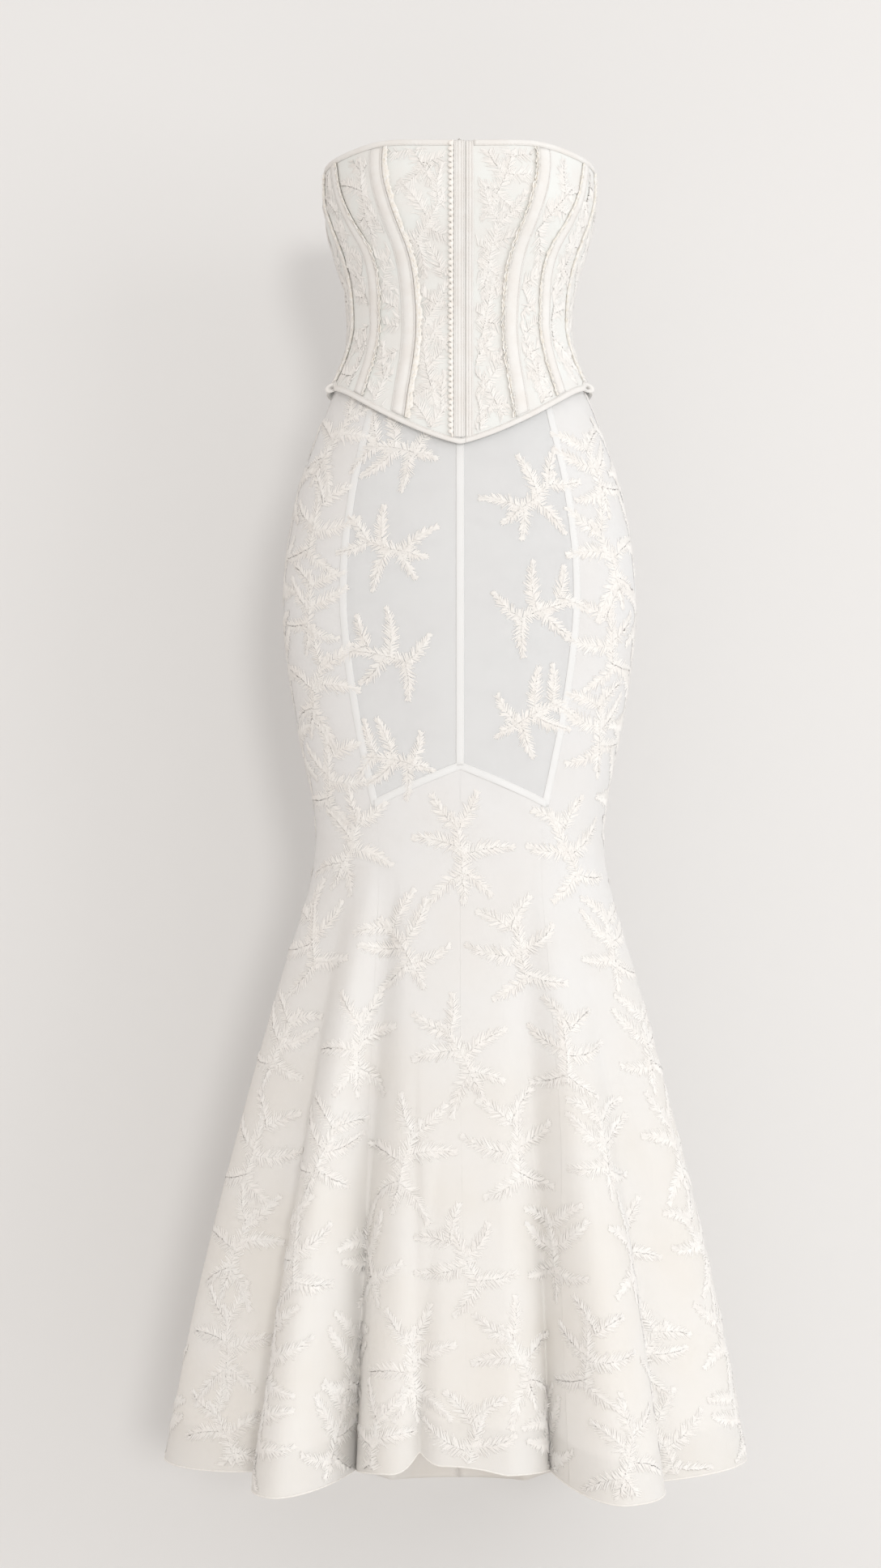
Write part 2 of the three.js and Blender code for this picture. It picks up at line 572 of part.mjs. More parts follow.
function gore(name, side, from, to, firstRow, lastRow) {
  const sign = side === 'left' ? -1 : 1;
  const shares = goreColumns(from, to, sign);
  const place = (i, j) => {
    const row = firstRow + j;
    const seam = skirtSeamAngle(i * 2 < shares.length ? from : to, skirtHeight(90, row));
    const level = skirtHeight(sign * seam, row);
    const low = skirtSeamAngle(from, level);
    const high = skirtSeamAngle(to, level);
    const half = SEAM_GAP / 2;
    const start = low + half * degreesPerMillimetre(skirtPoint, sign * low, level);
    const end = high - half * degreesPerMillimetre(skirtPoint, sign * high, level);
    const angle = lerp(start, end, shares[i]);
    let z = skirtHeight(sign * angle, row);
    if (firstRow > 0 && j === 0) z -= half;
    if (firstRow === 0 && lastRow === UPPER_ROWS - 1 && row === lastRow) z += half;
    return { angle: sign * angle, z };
  };
  const rows = lastRow - firstRow + 1;
  return wall(`skirt_${name}_${side}`, skirtPoint, shares.length, rows, place, SKIRT_WALL, voile);
}

const dress = new THREE.Group();
const kneeRow = UPPER_ROWS - 1;
const hemRow = UPPER_ROWS + FLARE_ROWS - 1;
for (const side of ['left', 'right']) {
  const sign = side === 'left' ? -1 : 1;
  for (const panel of CORSET_PANELS) dress.add(corsetPanel(panel, side));
  dress.add(casing('princess', side, 16));
  dress.add(casing('sideFront', side, 14));
  dress.add(casing('side', side, 11));
  dress.add(casing('sideBack', side, 11));
  dress.add(casing('back', side, 11));
  const fly = side === 'left' ? FLY_LEFT - SEAM_GAP : UNDER_BAND_RIGHT + SEAM_GAP;
  const flyAngle = fly * degreesPerMillimetre(corsetPoint, 0, TOP_FRONT);
  const back = sign * (180 - SEAM_MEET);
  const sideSeam = along(CORSET_SEAMS.side, 'angle', BASQUE_SIDE);
  const openEdge = (FLY_RIGHT + SEAM_GAP / 2) * degreesPerMillimetre(corsetPoint, 0, BASQUE_POINT);
  const meet = openEdge + sign * SEAM_MEET;
  dress.add(boundEdge(`top_edge_${side}`, topEdge, -1, flyAngle, back, 26));
  dress.add(boundEdge(`basque_edge_front_${side}`, lowerEdge, 1, meet, sign * (sideSeam - SEAM_MEET), 14));
  dress.add(boundEdge(`basque_edge_back_${side}`, lowerEdge, 1, sign * (sideSeam + SEAM_MEET), back, 16));
  dress.add(gore('front', side, 'centreFront', 'princess', 0, kneeRow));
  dress.add(gore('front_flare', side, 'centreFront', 'princess', kneeRow, hemRow));
  dress.add(gore('side_front', side, 'princess', 'side', 0, hemRow));
  dress.add(gore('side_back', side, 'side', 'back', 0, hemRow));
  dress.add(gore('back', side, 'back', 'centreBack', 0, hemRow));
}
dress.add(backCasing(14));
const aboveBasque = EDGE_WIDTH + BASQUE_CLEAR;
const underBandLeft = FLY_RIGHT + SEAM_GAP;
dress.add(frontBand('front_fly', FLY_LEFT, FLY_RIGHT, FLY_THICKNESS, 0, aboveBasque, tape));
dress.add(frontBand('front_under_band', underBandLeft, UNDER_BAND_RIGHT, UNDER_BAND_THICKNESS, 0, aboveBasque, tape));
dress.add(picotTrim());
for (const piece of hookAndEye()) dress.add(piece);

export default dress;
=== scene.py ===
# %% [markdown]
# A corset maxi dress in Blender.
# The dress has two parts: a boned cotton corset with a pointed basque, and a fitted skirt of semi-sheer
# voile that flares below the knee. Both carry sprays of leaves in clipped thread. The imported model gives
# every piece its place, and this script makes the cloth itself: thin shells, seams, raw edges, stitches
# and embroidery.

import bmesh
import bpy
import numpy as np
from mathutils import Matrix, Vector


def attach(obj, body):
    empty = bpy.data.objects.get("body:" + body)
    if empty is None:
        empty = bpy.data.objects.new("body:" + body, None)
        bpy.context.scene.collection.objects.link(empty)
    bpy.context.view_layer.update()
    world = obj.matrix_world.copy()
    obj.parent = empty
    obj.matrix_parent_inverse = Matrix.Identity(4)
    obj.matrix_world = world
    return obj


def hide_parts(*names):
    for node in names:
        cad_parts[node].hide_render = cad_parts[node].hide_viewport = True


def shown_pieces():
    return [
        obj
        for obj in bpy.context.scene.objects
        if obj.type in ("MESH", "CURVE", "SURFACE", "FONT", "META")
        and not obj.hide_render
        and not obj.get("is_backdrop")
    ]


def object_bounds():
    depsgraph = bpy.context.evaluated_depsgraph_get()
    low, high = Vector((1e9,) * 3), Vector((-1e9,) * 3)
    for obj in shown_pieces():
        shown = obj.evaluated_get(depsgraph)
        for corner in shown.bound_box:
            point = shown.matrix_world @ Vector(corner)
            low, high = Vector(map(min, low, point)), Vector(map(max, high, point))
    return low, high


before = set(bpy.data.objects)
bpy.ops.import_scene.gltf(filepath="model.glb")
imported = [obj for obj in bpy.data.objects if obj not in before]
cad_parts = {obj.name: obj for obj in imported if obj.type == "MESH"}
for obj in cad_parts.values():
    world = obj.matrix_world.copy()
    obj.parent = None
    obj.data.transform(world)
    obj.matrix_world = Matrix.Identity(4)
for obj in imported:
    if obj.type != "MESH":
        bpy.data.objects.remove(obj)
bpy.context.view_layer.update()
print("nodes in the frame:", len(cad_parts))

# %% [markdown]
# Two helpers serve the stage and every piece: one makes a material, and one makes a mesh of a shape.

# %% Materials and meshes
def new_material(name, sockets):
    """A material with values on its shader's sockets, and the nodes and links of its tree."""
    material = bpy.data.materials.new(name)
    material.use_nodes = True
    tree = material.node_tree
    for socket, value in sockets.items():
        tree.nodes["Principled BSDF"].inputs[socket].default_value = value
    return material, tree.nodes, tree.links


def mesh_from(name, shape):
    """A mesh of a finished shape, which is then freed."""
    mesh = bpy.data.meshes.new(name)
    shape.to_mesh(mesh)
    shape.free()
    return mesh


# %% [markdown]
# The stage is a pale floor and a pale wall just behind the dress, which catches its soft shadow. From
# behind, the wall would hide the dress, so its material lets light through its back face. The camera
# looks straight along +Y. Its height and its small step to the left give the picture's framing, and the
# lens follows from the height of the frame at the dress's own plane.

# %% Camera and stage
MM = 0.001
CAMERA_DISTANCE = 3.6
CAMERA_STEP = -0.02             # metres to the left of the dress's middle
CAMERA_HEIGHT = -0.483
FRAME_HEIGHT = 1.6456           # metres of the dress's plane that the picture is high
SENSOR = 36
FLOOR_Z, FLOOR_REACH = -1.7, 8
WALL_Y, WALL_REACH = 0.28, 6

scene = bpy.context.scene
scene.view_settings.view_transform = "Standard"
camera_data = bpy.data.cameras.new("camera")
camera_data.sensor_width = SENSOR
camera_data.lens = SENSOR * CAMERA_DISTANCE / FRAME_HEIGHT
camera = bpy.data.objects.new("camera", camera_data)
camera.location = (CAMERA_STEP, -CAMERA_DISTANCE, CAMERA_HEIGHT)
camera.rotation_euler = (np.pi / 2, 0, 0)
scene.collection.objects.link(camera)
scene.camera = camera
print("lens:", round(camera_data.lens, 1))


def plain_material(name, colour, one_sided):
    sockets = {"Base Color": (*colour, 1), "Roughness": 1, "Specular IOR Level": 0}
    material, nodes, links = new_material(name, sockets)
    if one_sided:
        mix = nodes.new("ShaderNodeMixShader")
        links.new(nodes.new("ShaderNodeNewGeometry").outputs["Backfacing"], mix.inputs[0])
        links.new(nodes["Principled BSDF"].outputs[0], mix.inputs[1])
        links.new(nodes.new("ShaderNodeBsdfTransparent").outputs[0], mix.inputs[2])
        links.new(mix.outputs[0], nodes["Material Output"].inputs[0])
    return material


def stage_plane(name, reach, corner_at, material):
    """A staged plane of one face. corner_at turns a flat corner up to its place."""
    shape = bmesh.new()
    bmesh.ops.create_grid(shape, x_segments=1, y_segments=1, size=reach)
    for vertex in shape.verts:
        vertex.co = Vector(corner_at(vertex.co.x, vertex.co.y))
    plane = bpy.data.objects.new(name, mesh_from(name, shape))
    plane.data.materials.append(material)
    scene.collection.objects.link(plane)
    plane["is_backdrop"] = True
    return plane


floor_paint = plain_material("floor paint", (0.87, 0.86, 0.85), False)
wall_paint = plain_material("wall paint", (0.775, 0.77, 0.765), True)
stage_plane("floor", FLOOR_REACH, lambda across, up: (across, up, FLOOR_Z), floor_paint)
wall = stage_plane("wall", WALL_REACH, lambda across, up: (across, WALL_Y, up), wall_paint)
wall.visible_diffuse = False
wall.visible_glossy = False

# %% [markdown]
# The light is a plain soft studio light. The air round the dress is pale, a little dimmer and warmer on
# the left. A wide distant lamp, a little to the right of the camera, throws a narrow soft shadow, and a
# large near one on the right makes that side of the wall lighter.

# %% Light
world = bpy.data.worlds.new("studio")
world.use_nodes = True
air, air_links = world.node_tree.nodes, world.node_tree.links
direction = air.new("ShaderNodeSeparateXYZ")
air_links.new(air.new("ShaderNodeTexCoord").outputs["Generated"], direction.inputs[0])
rightness = air.new("ShaderNodeMapRange")
rightness.inputs["From Min"].default_value = -1
air_links.new(direction.outputs["X"], rightness.inputs["Value"])
air_tones = air.new("ShaderNodeValToRGB")
air_tones.color_ramp.elements[0].color = (0.79, 0.735, 0.69, 1)
air_tones.color_ramp.elements[1].color = (1.0, 1.0, 1.0, 1)
air_links.new(rightness.outputs["Result"], air_tones.inputs["Fac"])
air_links.new(air_tones.outputs["Color"], air["Background"].inputs["Color"])
air["Background"].inputs["Strength"].default_value = 0.97
scene.world = world


def place_lamp(lamp, place, target, energy, colour):
    lamp.energy = energy
    lamp.color = colour
    holder = bpy.data.objects.new(lamp.name, lamp)
    holder.location = place
    holder.rotation_euler = (Vector(target) - Vector(place)).to_track_quat("-Z", "Y").to_euler()
    scene.collection.objects.link(holder)


distant = bpy.data.lights.new("distant lamp", "SUN")
distant.angle = np.radians(9)
place_lamp(distant, (0.7, -4, 0.1), (0, 0, -0.45), 0.55, (1.0, 0.99, 0.97))
side_lamp = bpy.data.lights.new("side lamp", "AREA")
side_lamp.size = 1.8
place_lamp(side_lamp, (2.5, -2.0, 0.2), (0, 0, -0.5), 18, (0.98, 0.99, 1.0))

# %% [markdown]
# The dress's form is worked out from short tables, in millimetres, and angles run round the body: 0 is
# the centre front, 90 the side at +X and 180 the centre back. A smooth curve through a table's rows gives
# its value at any height, so one function serves the corset, the skirt and every seam.

# %% Tables and curves through them
def table(columns, *rows):
    return {name: np.array(values, float) for name, values in zip(columns.split(), zip(*rows))}


def lerp(a, b, share):
    return a + (b - a) * share


def ease(share):
    return (1 - np.cos(np.pi * share)) / 2


def along(rows, column, z):
    """One column of a table as a smooth curve through its rows, which run downwards."""
    heights, values = rows["z"], rows[column]
    last = len(heights) - 1
    z = np.clip(z, heights[-1], heights[0])
    i = np.clip(np.searchsorted(-heights, -z, side="right") - 1, 0, last - 1)
    before, after = np.maximum(i - 1, 0), np.minimum(i + 2, last)
    step = heights[i + 1] - heights[i]
    here = (values[i + 1] - values[before]) / (heights[i + 1] - heights[before]) * step
    there = (values[after] - values[i]) / (heights[after] - heights[i]) * step
    a, b, t = values[i], values[i + 1], (z - heights[i]) / step
    return a + t * (here + t * (3 * (b - a) - 2 * here - there + t * (2 * (a - b) + here + there)))


CORSET_SECTIONS = table(
    "z half_width front back",
    (176, 138.5, 108, 90), (150, 141.5, 115, 92), (125, 142.5, 118, 93), (95, 138.5, 115, 92),
    (65, 130, 107, 89), (34, 121, 98, 85), (0, 117, 91.5, 82), (-20, 118, 91, 83.5), (-45, 125, 94, 90),
    (-72, 137, 99.5, 99), (-100, 149, 104.5, 108), (-140, 163, 109, 117),
)
SKIRT_SECTIONS = table(
    "z half_width front back",
    (-6, 114.3, 88.4, 79.4), (-20, 114.8, 87.6, 80.2), (-45, 121, 89.5, 86), (-72, 131, 94, 94.5),
    (-102, 143, 98.5, 104), (-136, 155.5, 102.5, 112), (-170, 167, 105.5, 119), (-204, 174.5, 107, 124),
    (-255, 182, 107.5, 128), (-306, 184, 106, 127), (-357, 179.5, 104, 122), (-425, 169, 101, 114),
    (-467, 160, 99.5, 110), (-510, 152.5, 99, 108), (-544, 151, 100, 108), (-578, 155, 103, 111),
    (-612, 163, 109, 117), (-680, 184, 124, 133), (-850, 226, 162, 173), (-1020, 262, 193, 208),
    (-1192, 290, 216, 238), (-1265, 300, 224, 250),
)
CORSET_SEAMS = {
    "princess": table("z angle", (176, 32.3), (150, 31.4), (115, 27.7), (85, 25), (55, 22.4), (15, 21.4),
                      (-26, 21), (-110, 20.5)),
    "sideFront": table("z angle", (176, 67), (145, 60), (120, 54.5), (97, 49), (70, 43), (50, 41.3),
                       (0, 42.6), (-90, 42.3)),
    "side": table("z angle", (176, 86), (119, 76), (88, 69), (57, 66), (0, 68.5), (-32, 70.5), (-80, 74)),
    "sideBack": table("z angle", (176, 112), (100, 110), (0, 108), (-90, 111)),
    "back": table("z angle", (176, 142), (100, 144), (0, 149), (-90, 147)),
}
SKIRT_SEAMS = {
    "princess": table("z angle", (-6, 38.4), (-136, 37.8), (-255, 38.5), (-357, 37.4), (-467, 34.4),
                      (-510, 32.4), (-561, 30.9), (-680, 27.4), (-850, 25.6), (-970, 24), (-1265, 24)),
    "side": table("z angle", (-6, 90), (-1265, 90)),
    "back": table("z angle", (-6, 141), (-500, 145), (-1265, 150)),
}

# %% [markdown]
# Below the knee the cloth falls in deep rounded folds. Each row of the next table is a crest or a valley,
# with its angle, how far it stands out of a plain bell, the height of the hem there, the height at which
# the fold begins, and how far its flanks lean over the valley beside it.

# %% The folds of the flare
FOLDS = table(
    "angle crest reach hem start pinch",
    (-180, 1, 18, -1264, -620, 0.2), (-166, 0, -34, -1255, -620, 0.2), (-149, 1, 22, -1247, -600, 0.22),
    (-133, 0, -36, -1232, -600, 0.2), (-114, 1, 22, -1214, -590, 0.2), (-97, 0, -24, -1196, -600, 0.15),
    (-77, 1, 24, -1181, -570, 0.16), (-47, 0, -40, -1180, -550, 0.22), (-34.5, 1, 36, -1188, -550, 0.24),
    (-24, 0, -74, -1177, -575, 0.28), (-13, 1, -4, -1167, -700, 0.22), (-8, 0, -24, -1149, -880, 0.18),
    (-3.2, 1, -8, -1159, -800, 0.18), (9, 1, -2, -1167, -700, 0.15), (19, 0, -52, -1172, -620, 0.3),
    (29.5, 1, 38, -1193, -560, 0.26), (46, 0, -28, -1188, -580, 0.24), (74, 1, 16, -1181, -580, 0.18),
    (96, 0, -24, -1193, -600, 0.15), (115, 1, 22, -1215, -590, 0.2), (132, 0, -34, -1231, -600, 0.2),
    (150, 1, 20, -1247, -600, 0.22), (166, 0, -32, -1256, -620, 0.2), (180, 1, 18, -1264, -620, 0.2),
)
FOLD_GROWTH = 1.12


def wrapped(angle):
    return (np.asarray(angle, float) + 180) % 360 - 180


def fold_at(angle):
    """Reach, hem, start and lean of the folds at an angle."""
    angle = wrapped(angle)
    stops = FOLDS["angle"]
    i = np.clip(np.searchsorted(stops, angle) - 1, 0, len(stops) - 2)
    gap = stops[i + 1] - stops[i]
    share = (angle - stops[i]) / gap
    mixed = [lerp(FOLDS[name][i], FOLDS[name][i + 1], ease(share))
             for name in ("reach", "hem", "start", "pinch")]
    towards_valley = np.where(FOLDS["crest"][i] > 0, 1, -1)
    mixed[3] = mixed[3] * np.sin(np.pi * share) * towards_valley * gap
    return mixed


# %% [markdown]
# Cloth under tension has creases that a plain surface lacks. They are soft troughs and ridges, listed one by
# one, each with its middle, its half length, its width, its depth and its tilt from level.

# %% Creases, listed one by one
CORSET_CREASES = table(
    "angle z half_length width depth tilt",
    (-11, 148, 30, 5, -1.0, 24), (-20, 132, 26, 4, -0.7, 40), (-8, 58, 24, 2.2, -0.6, 2),
    (-12, 46, 20, 1.8, 0.5, -3), (-9, 33, 26, 2.0, -0.5, 1), (-13, 5, 22, 1.8, -0.5, 4),
    (-10, -9, 26, 1.7, 0.4, -2), (-12, -24, 24, 1.8, -0.5, 2), (-9, -62, 26, 2.0, -0.6, 5),
    (-13, -78, 22, 2.0, 0.5, 3), (-10, -96, 20, 2.2, -0.5, 7), (13, 84, 22, 2.0, -0.6, -2),
    (12, 72, 20, 1.8, 0.5, 3), (14, 22, 24, 2.0, -0.6, -3), (12, 8, 22, 1.7, 0.4, 2),
    (13, -8, 26, 1.8, -0.5, -2), (15, -30, 22, 1.8, -0.5, 2), (12, -44, 20, 1.8, 0.4, -3),
    (14, -70, 20, 2.2, -0.5, -6), (-32, 20, 20, 2.2, -0.6, 6), (-33, 2, 22, 2.0, 0.5, 2),
    (-31, -20, 20, 2.2, -0.6, -4), (-33, -48, 22, 2.4, -0.6, 3), (33, 12, 20, 2.2, -0.5, -5),
    (32, -14, 20, 2.0, -0.5, 3), (33, -46, 22, 2.4, -0.5, -3), (-58, -10, 24, 2.6, -0.7, 5),
    (-57, -34, 22, 2.4, -0.6, 8), (57, -8, 24, 2.6, -0.6, -5), (58, -32, 22, 2.4, -0.6, -8),
    (-40, 140, 24, 5, -0.8, -35), (40, 142, 24, 5, -0.7, 35), (-120, 4, 26, 2.6, -0.6, 2),
    (-124, -18, 24, 2.4, -0.6, -3), (122, 0, 26, 2.6, -0.6, -2), (126, -22, 24, 2.4, -0.6, 3),
    (-162, 10, 24, 2.2, -0.6, 3), (-160, -14, 26, 2.4, -0.6, -2), (162, 6, 24, 2.2, -0.6, -3),
    (160, -18, 26, 2.4, -0.6, 2),
)
SKIRT_CREASES = table(
    "angle z half_length width depth tilt",
    (22, -228, 46, 4, -0.8, 2), (20, -246, 40, 5, 0.6, -2), (24, -292, 46, 4, -0.8, 1),
    (18, -318, 36, 4, -0.5, -3), (26, -402, 34, 5, -0.6, 4), (9, -492, 26, 3.2, -1.6, -48),
    (14, -484, 24, 4, 1.1, -42), (20, -512, 22, 4, -0.8, -36), (-9, -486, 22, 4, -0.8, 40),
    (-17, -252, 34, 5, -0.5, -3), (-20, -388, 30, 5, -0.5, 3), (-58, -128, 44, 6, -1.0, -26),
    (-66, -150, 40, 7, -0.8, -30), (58, -126, 44, 6, -0.9, 26), (67, -152, 40, 7, -0.7, 30),
    (-70, -520, 44, 7, -1.4, 12), (-62, -545, 40, 6, -1.1, -14), (70, -522, 44, 7, -1.2, -12),
    (60, -548, 40, 6, -1.0, 14), (-150, -150, 40, 6, -0.9, 22), (150, -150, 40, 6, -0.9, -22),
    (168, -212, 40, 5, -0.8, 4), (-166, -236, 42, 5, -0.8, -4), (160, -505, 44, 6, -1.2, 10),
    (-158, -512, 44, 6, -1.2, -10), (-64, -980, 150, 9, -3.0, 82), (-88, -1000, 140, 10, -3.0, -84),
    (60, -980, 150, 10, -3.0, -82), (88, -1010, 140, 10, -2.6, 84), (-38, -1040, 110, 6, -1.6, 86),
    (24, -1050, 120, 6, -1.8, -86), (34, -1000, 130, 7, -1.8, 84), (-14, -1030, 110, 6, -1.6, -88),
    (124, -1040, 150, 9, -2.6, 86), (-124, -1040, 150, 9, -2.6, -86), (157, -1060, 150, 9, -2.6, 86),
    (-142, -1060, 150, 8, -2.4, 86),
)
MM_PER_DEGREE = 2.1


def crease_height(creases, angle, z):
    """How far the creases lift the cloth, or sink it, at each point."""
    total = np.zeros(np.broadcast(angle, z).shape)
    for i, middle in enumerate(creases["angle"]):
        tilt = np.radians(creases["tilt"][i])
        aside = wrapped(angle - middle) * MM_PER_DEGREE
        up = z - creases["z"][i]
        run = aside * np.cos(tilt) + up * np.sin(tilt)
        off = up * np.cos(tilt) - aside * np.sin(tilt)
        size = (run / creases["half_length"][i])**2 + (off / creases["width"][i])**2
        total += creases["depth"][i] * np.exp(-size)
    return total


# %% [markdown]
# Two surfaces carry everything. A horizontal section is a slightly squared ellipse. The corset adds two
# soft cups, and the skirt adds the folds. Whatever lies on the cloth is placed on these surfaces and
# lifted along their normals, so nothing floats or sinks.

# %% The surfaces of the corset and the skirt
SQUARENESS = 0.02
SAMPLE = 0.4                    # degrees or millimetres to each side at which a slope is read
CUP_RISE, CUP_ANGLE, CUP_SPREAD = 7, 30, 21
CUP_HEIGHT, CUP_FALL = 116, 36
PAST_HEM = 1.05                 # the share of its growth to which a fold may go on below the hem


def section_point(sections, angle, z):
    phi = np.radians(angle)
    across = (np.sin(phi) + SQUARENESS * np.sin(3 * phi)) / (1 - SQUARENESS)
    forward = (np.cos(phi) - SQUARENESS * np.cos(3 * phi)) / (1 - SQUARENESS)
    depth = np.where(forward > 0, along(sections, "front", z), along(sections, "back", z))
    return np.stack([along(sections, "half_width", z) * across, -depth * forward, z + 0 * phi], -1)


def corset_point(angle, z):
    point = section_point(CORSET_SECTIONS, angle, z)
    aside = (np.abs(wrapped(angle)) - CUP_ANGLE) / CUP_SPREAD
    cup = CUP_RISE * np.exp(-aside**2) * np.exp(-((z - CUP_HEIGHT) / CUP_FALL)**2)
    out = point * (1, 1, 0)
    out /= np.linalg.norm(out, axis=-1, keepdims=True)
    return point + out * (cup + crease_height(CORSET_CREASES, angle, z))[..., None]


def skirt_point(angle, z):
    reach, hem, start, lean = fold_at(angle)
    growth = np.clip((start - z) / (start - hem), 0, PAST_HEM)**FOLD_GROWTH
    leaned = angle + lean * growth
    after = section_point(SKIRT_SECTIONS, leaned + SAMPLE, z)
    tangent = after - section_point(SKIRT_SECTIONS, leaned - SAMPLE, z)
    out = np.stack([tangent[..., 1], -tangent[..., 0], 0 * tangent[..., 0]], -1)
    out /= np.linalg.norm(out, axis=-1, keepdims=True)
    stand = reach * growth + crease_height(SKIRT_CREASES, angle, z)
    return section_point(SKIRT_SECTIONS, leaned, z) + out * stand[..., None]


def normal_of(surface, angle, z):
    around = surface(angle + SAMPLE, z) - surface(angle - SAMPLE, z)
    up = surface(angle, z + SAMPLE) - surface(angle, z - SAMPLE)
    normal = np.cross(around, up)
    return normal / np.linalg.norm(normal, axis=-1, keepdims=True)


def lifted(surface, angle, z, height):
    """Points on a surface, moved out along its normals."""
    angle, z, height = np.broadcast_arrays(*np.atleast_1d(angle, z, height))
    return surface(angle, z) + normal_of(surface, angle, z) * height[..., None]


def degrees_per_mm(surface, angle, z):
    return 2 * SAMPLE / np.linalg.norm(surface(angle + SAMPLE, z) - surface(angle - SAMPLE, z), axis=-1)


# %% [markdown]
# The edges of the pieces come next: the corset's top edge and its pointed lower edge with a small vent at
# each side seam, and the skirt's knee seam, an upturned V in front.

# %% Edges of the pieces
TOP_HEIGHT = 171.5              # the top edge at the centre front
TOP_RISE, TOP_RISE_ANGLE, TOP_RISE_SPREAD = 4, 32, 17
SIDE_DIP, BACK_DIP = 9, 16
BASQUE_POINT, BASQUE_SIDE, BASQUE_BACK = -136, -74, -88
BASQUE_CURVE = 1.25             # above 1, the edge stays low near its point
VENT_RISE, VENT_SPREAD = 6, 6.5
SIDE_ANGLE = float(along(CORSET_SEAMS["side"], "angle", BASQUE_SIDE))
KNEE_PEAK, KNEE_FOOT = -464, -503
SKIRT_TOP = -6


def top_edge(angle):
    phi = np.radians(angle)
    over_cup = TOP_RISE * np.exp(-((np.abs(wrapped(angle)) - TOP_RISE_ANGLE) / TOP_RISE_SPREAD)**2)
    return TOP_HEIGHT + over_cup - SIDE_DIP * np.sin(phi)**2 - BACK_DIP * ((1 - np.cos(phi)) / 2)**2


def lower_edge(angle):
    size = np.abs(wrapped(angle))
    vent = VENT_RISE * np.maximum(0, 1 - np.abs(size - SIDE_ANGLE) / VENT_SPREAD)
    rise = np.sin(np.radians(np.minimum(90, 90 * size / SIDE_ANGLE)))**BASQUE_CURVE
    front = lerp(BASQUE_POINT, BASQUE_SIDE, rise)
    past_side = np.clip((size - SIDE_ANGLE) / (180 - SIDE_ANGLE), 0, 1)
    behind = lerp(BASQUE_SIDE, BASQUE_BACK, ease(past_side))
    return np.where(size < SIDE_ANGLE, front, behind) + vent


def corset_height(angle, share):
    return lerp(top_edge(angle), lower_edge(angle), share)


def knee_seam(angle):
    princess = along(SKIRT_SEAMS["princess"], "angle", KNEE_FOOT)
    return lerp(KNEE_PEAK, KNEE_FOOT, np.clip(np.abs(wrapped(angle)) / princess, 0, 1))


def hem_line(angle):
    return fold_at(angle)[1]


def waist_line(angle):
    return SKIRT_TOP + 0 * np.asarray(angle, float)


def settled(angle_at, height_at, z, rounds):
    """The angle and the height that agree where a seam meets a line, found by going between them in turn."""
    for _ in range(rounds):
        angle = angle_at(z)
        z = height_at(angle)
    return angle, z


def seam_angle(seams, name, z):
    if name == "centreFront":
        return 0 * np.asarray(z, float)
    if name == "centreBack":
        return 180 + 0 * np.asarray(z, float)
    return along(seams[name], "angle", z)


# %% [markdown]
# A step across the cloth is measured along the cloth, not in degrees, because a fold packs much cloth
# into a few degrees. A table holds the length of cloth round the body at each level, so a walk of so many
# millimetres from an angle ends at the right one.

# %% Walking round the cloth
ROUND = np.arange(-260.0, 260.5, 1.0)


def arc_table(surface, top, bottom, step):
    levels = np.arange(top, bottom, -step, dtype=float)
    rows = []
    for level in levels:
        points = surface(ROUND, np.full(len(ROUND), level))
        rows.append(np.concatenate([[0], np.cumsum(np.linalg.norm(np.diff(points, axis=0), axis=-1))]))
    return {"top": top, "step": step, "lengths": np.array(rows)}


def walk_round(arcs, z, start, distance):
    """The angles reached from start by walking a distance round the cloth at each height."""
    level = np.clip((arcs["top"] - z) / arcs["step"], 0, len(arcs["lengths"]) - 1.001)
    low = level.astype(int)
    angle = np.zeros_like(z)
    start, distance = np.broadcast_to(start, z.shape), np.broadcast_to(distance, z.shape)
    for offset, weight in ((0, 1 - (level - low)), (1, level - low)):
        for row in np.unique(low):
            here = low == row
            lengths = arcs["lengths"][row + offset]
            reached = np.interp(start[here], ROUND, lengths) + distance[here]
            angle[here] += weight[here] * np.interp(reached, lengths, ROUND)
    return angle


CORSET_ARCS = arc_table(corset_point, 180, -150, 10)
SKIRT_ARCS = arc_table(skirt_point, 0, -1280, 10)


# %% [markdown]
# Most pieces are one shape: a flat grid whose vertices are moved onto a surface. The grid comes from a
# bmesh operator, and a small function says where each of its points goes. Its UV map is scaled to the
# cloth's real width and length in metres, so a weave has the same size on every piece. A band is such a
# grid rolled round a closed profile and welded.

# %% Grids bent into cloth
def object_from(name, mesh):
    piece = bpy.data.objects.new(name, mesh)
    scene.collection.objects.link(piece)
    mesh.shade_smooth()
    return piece


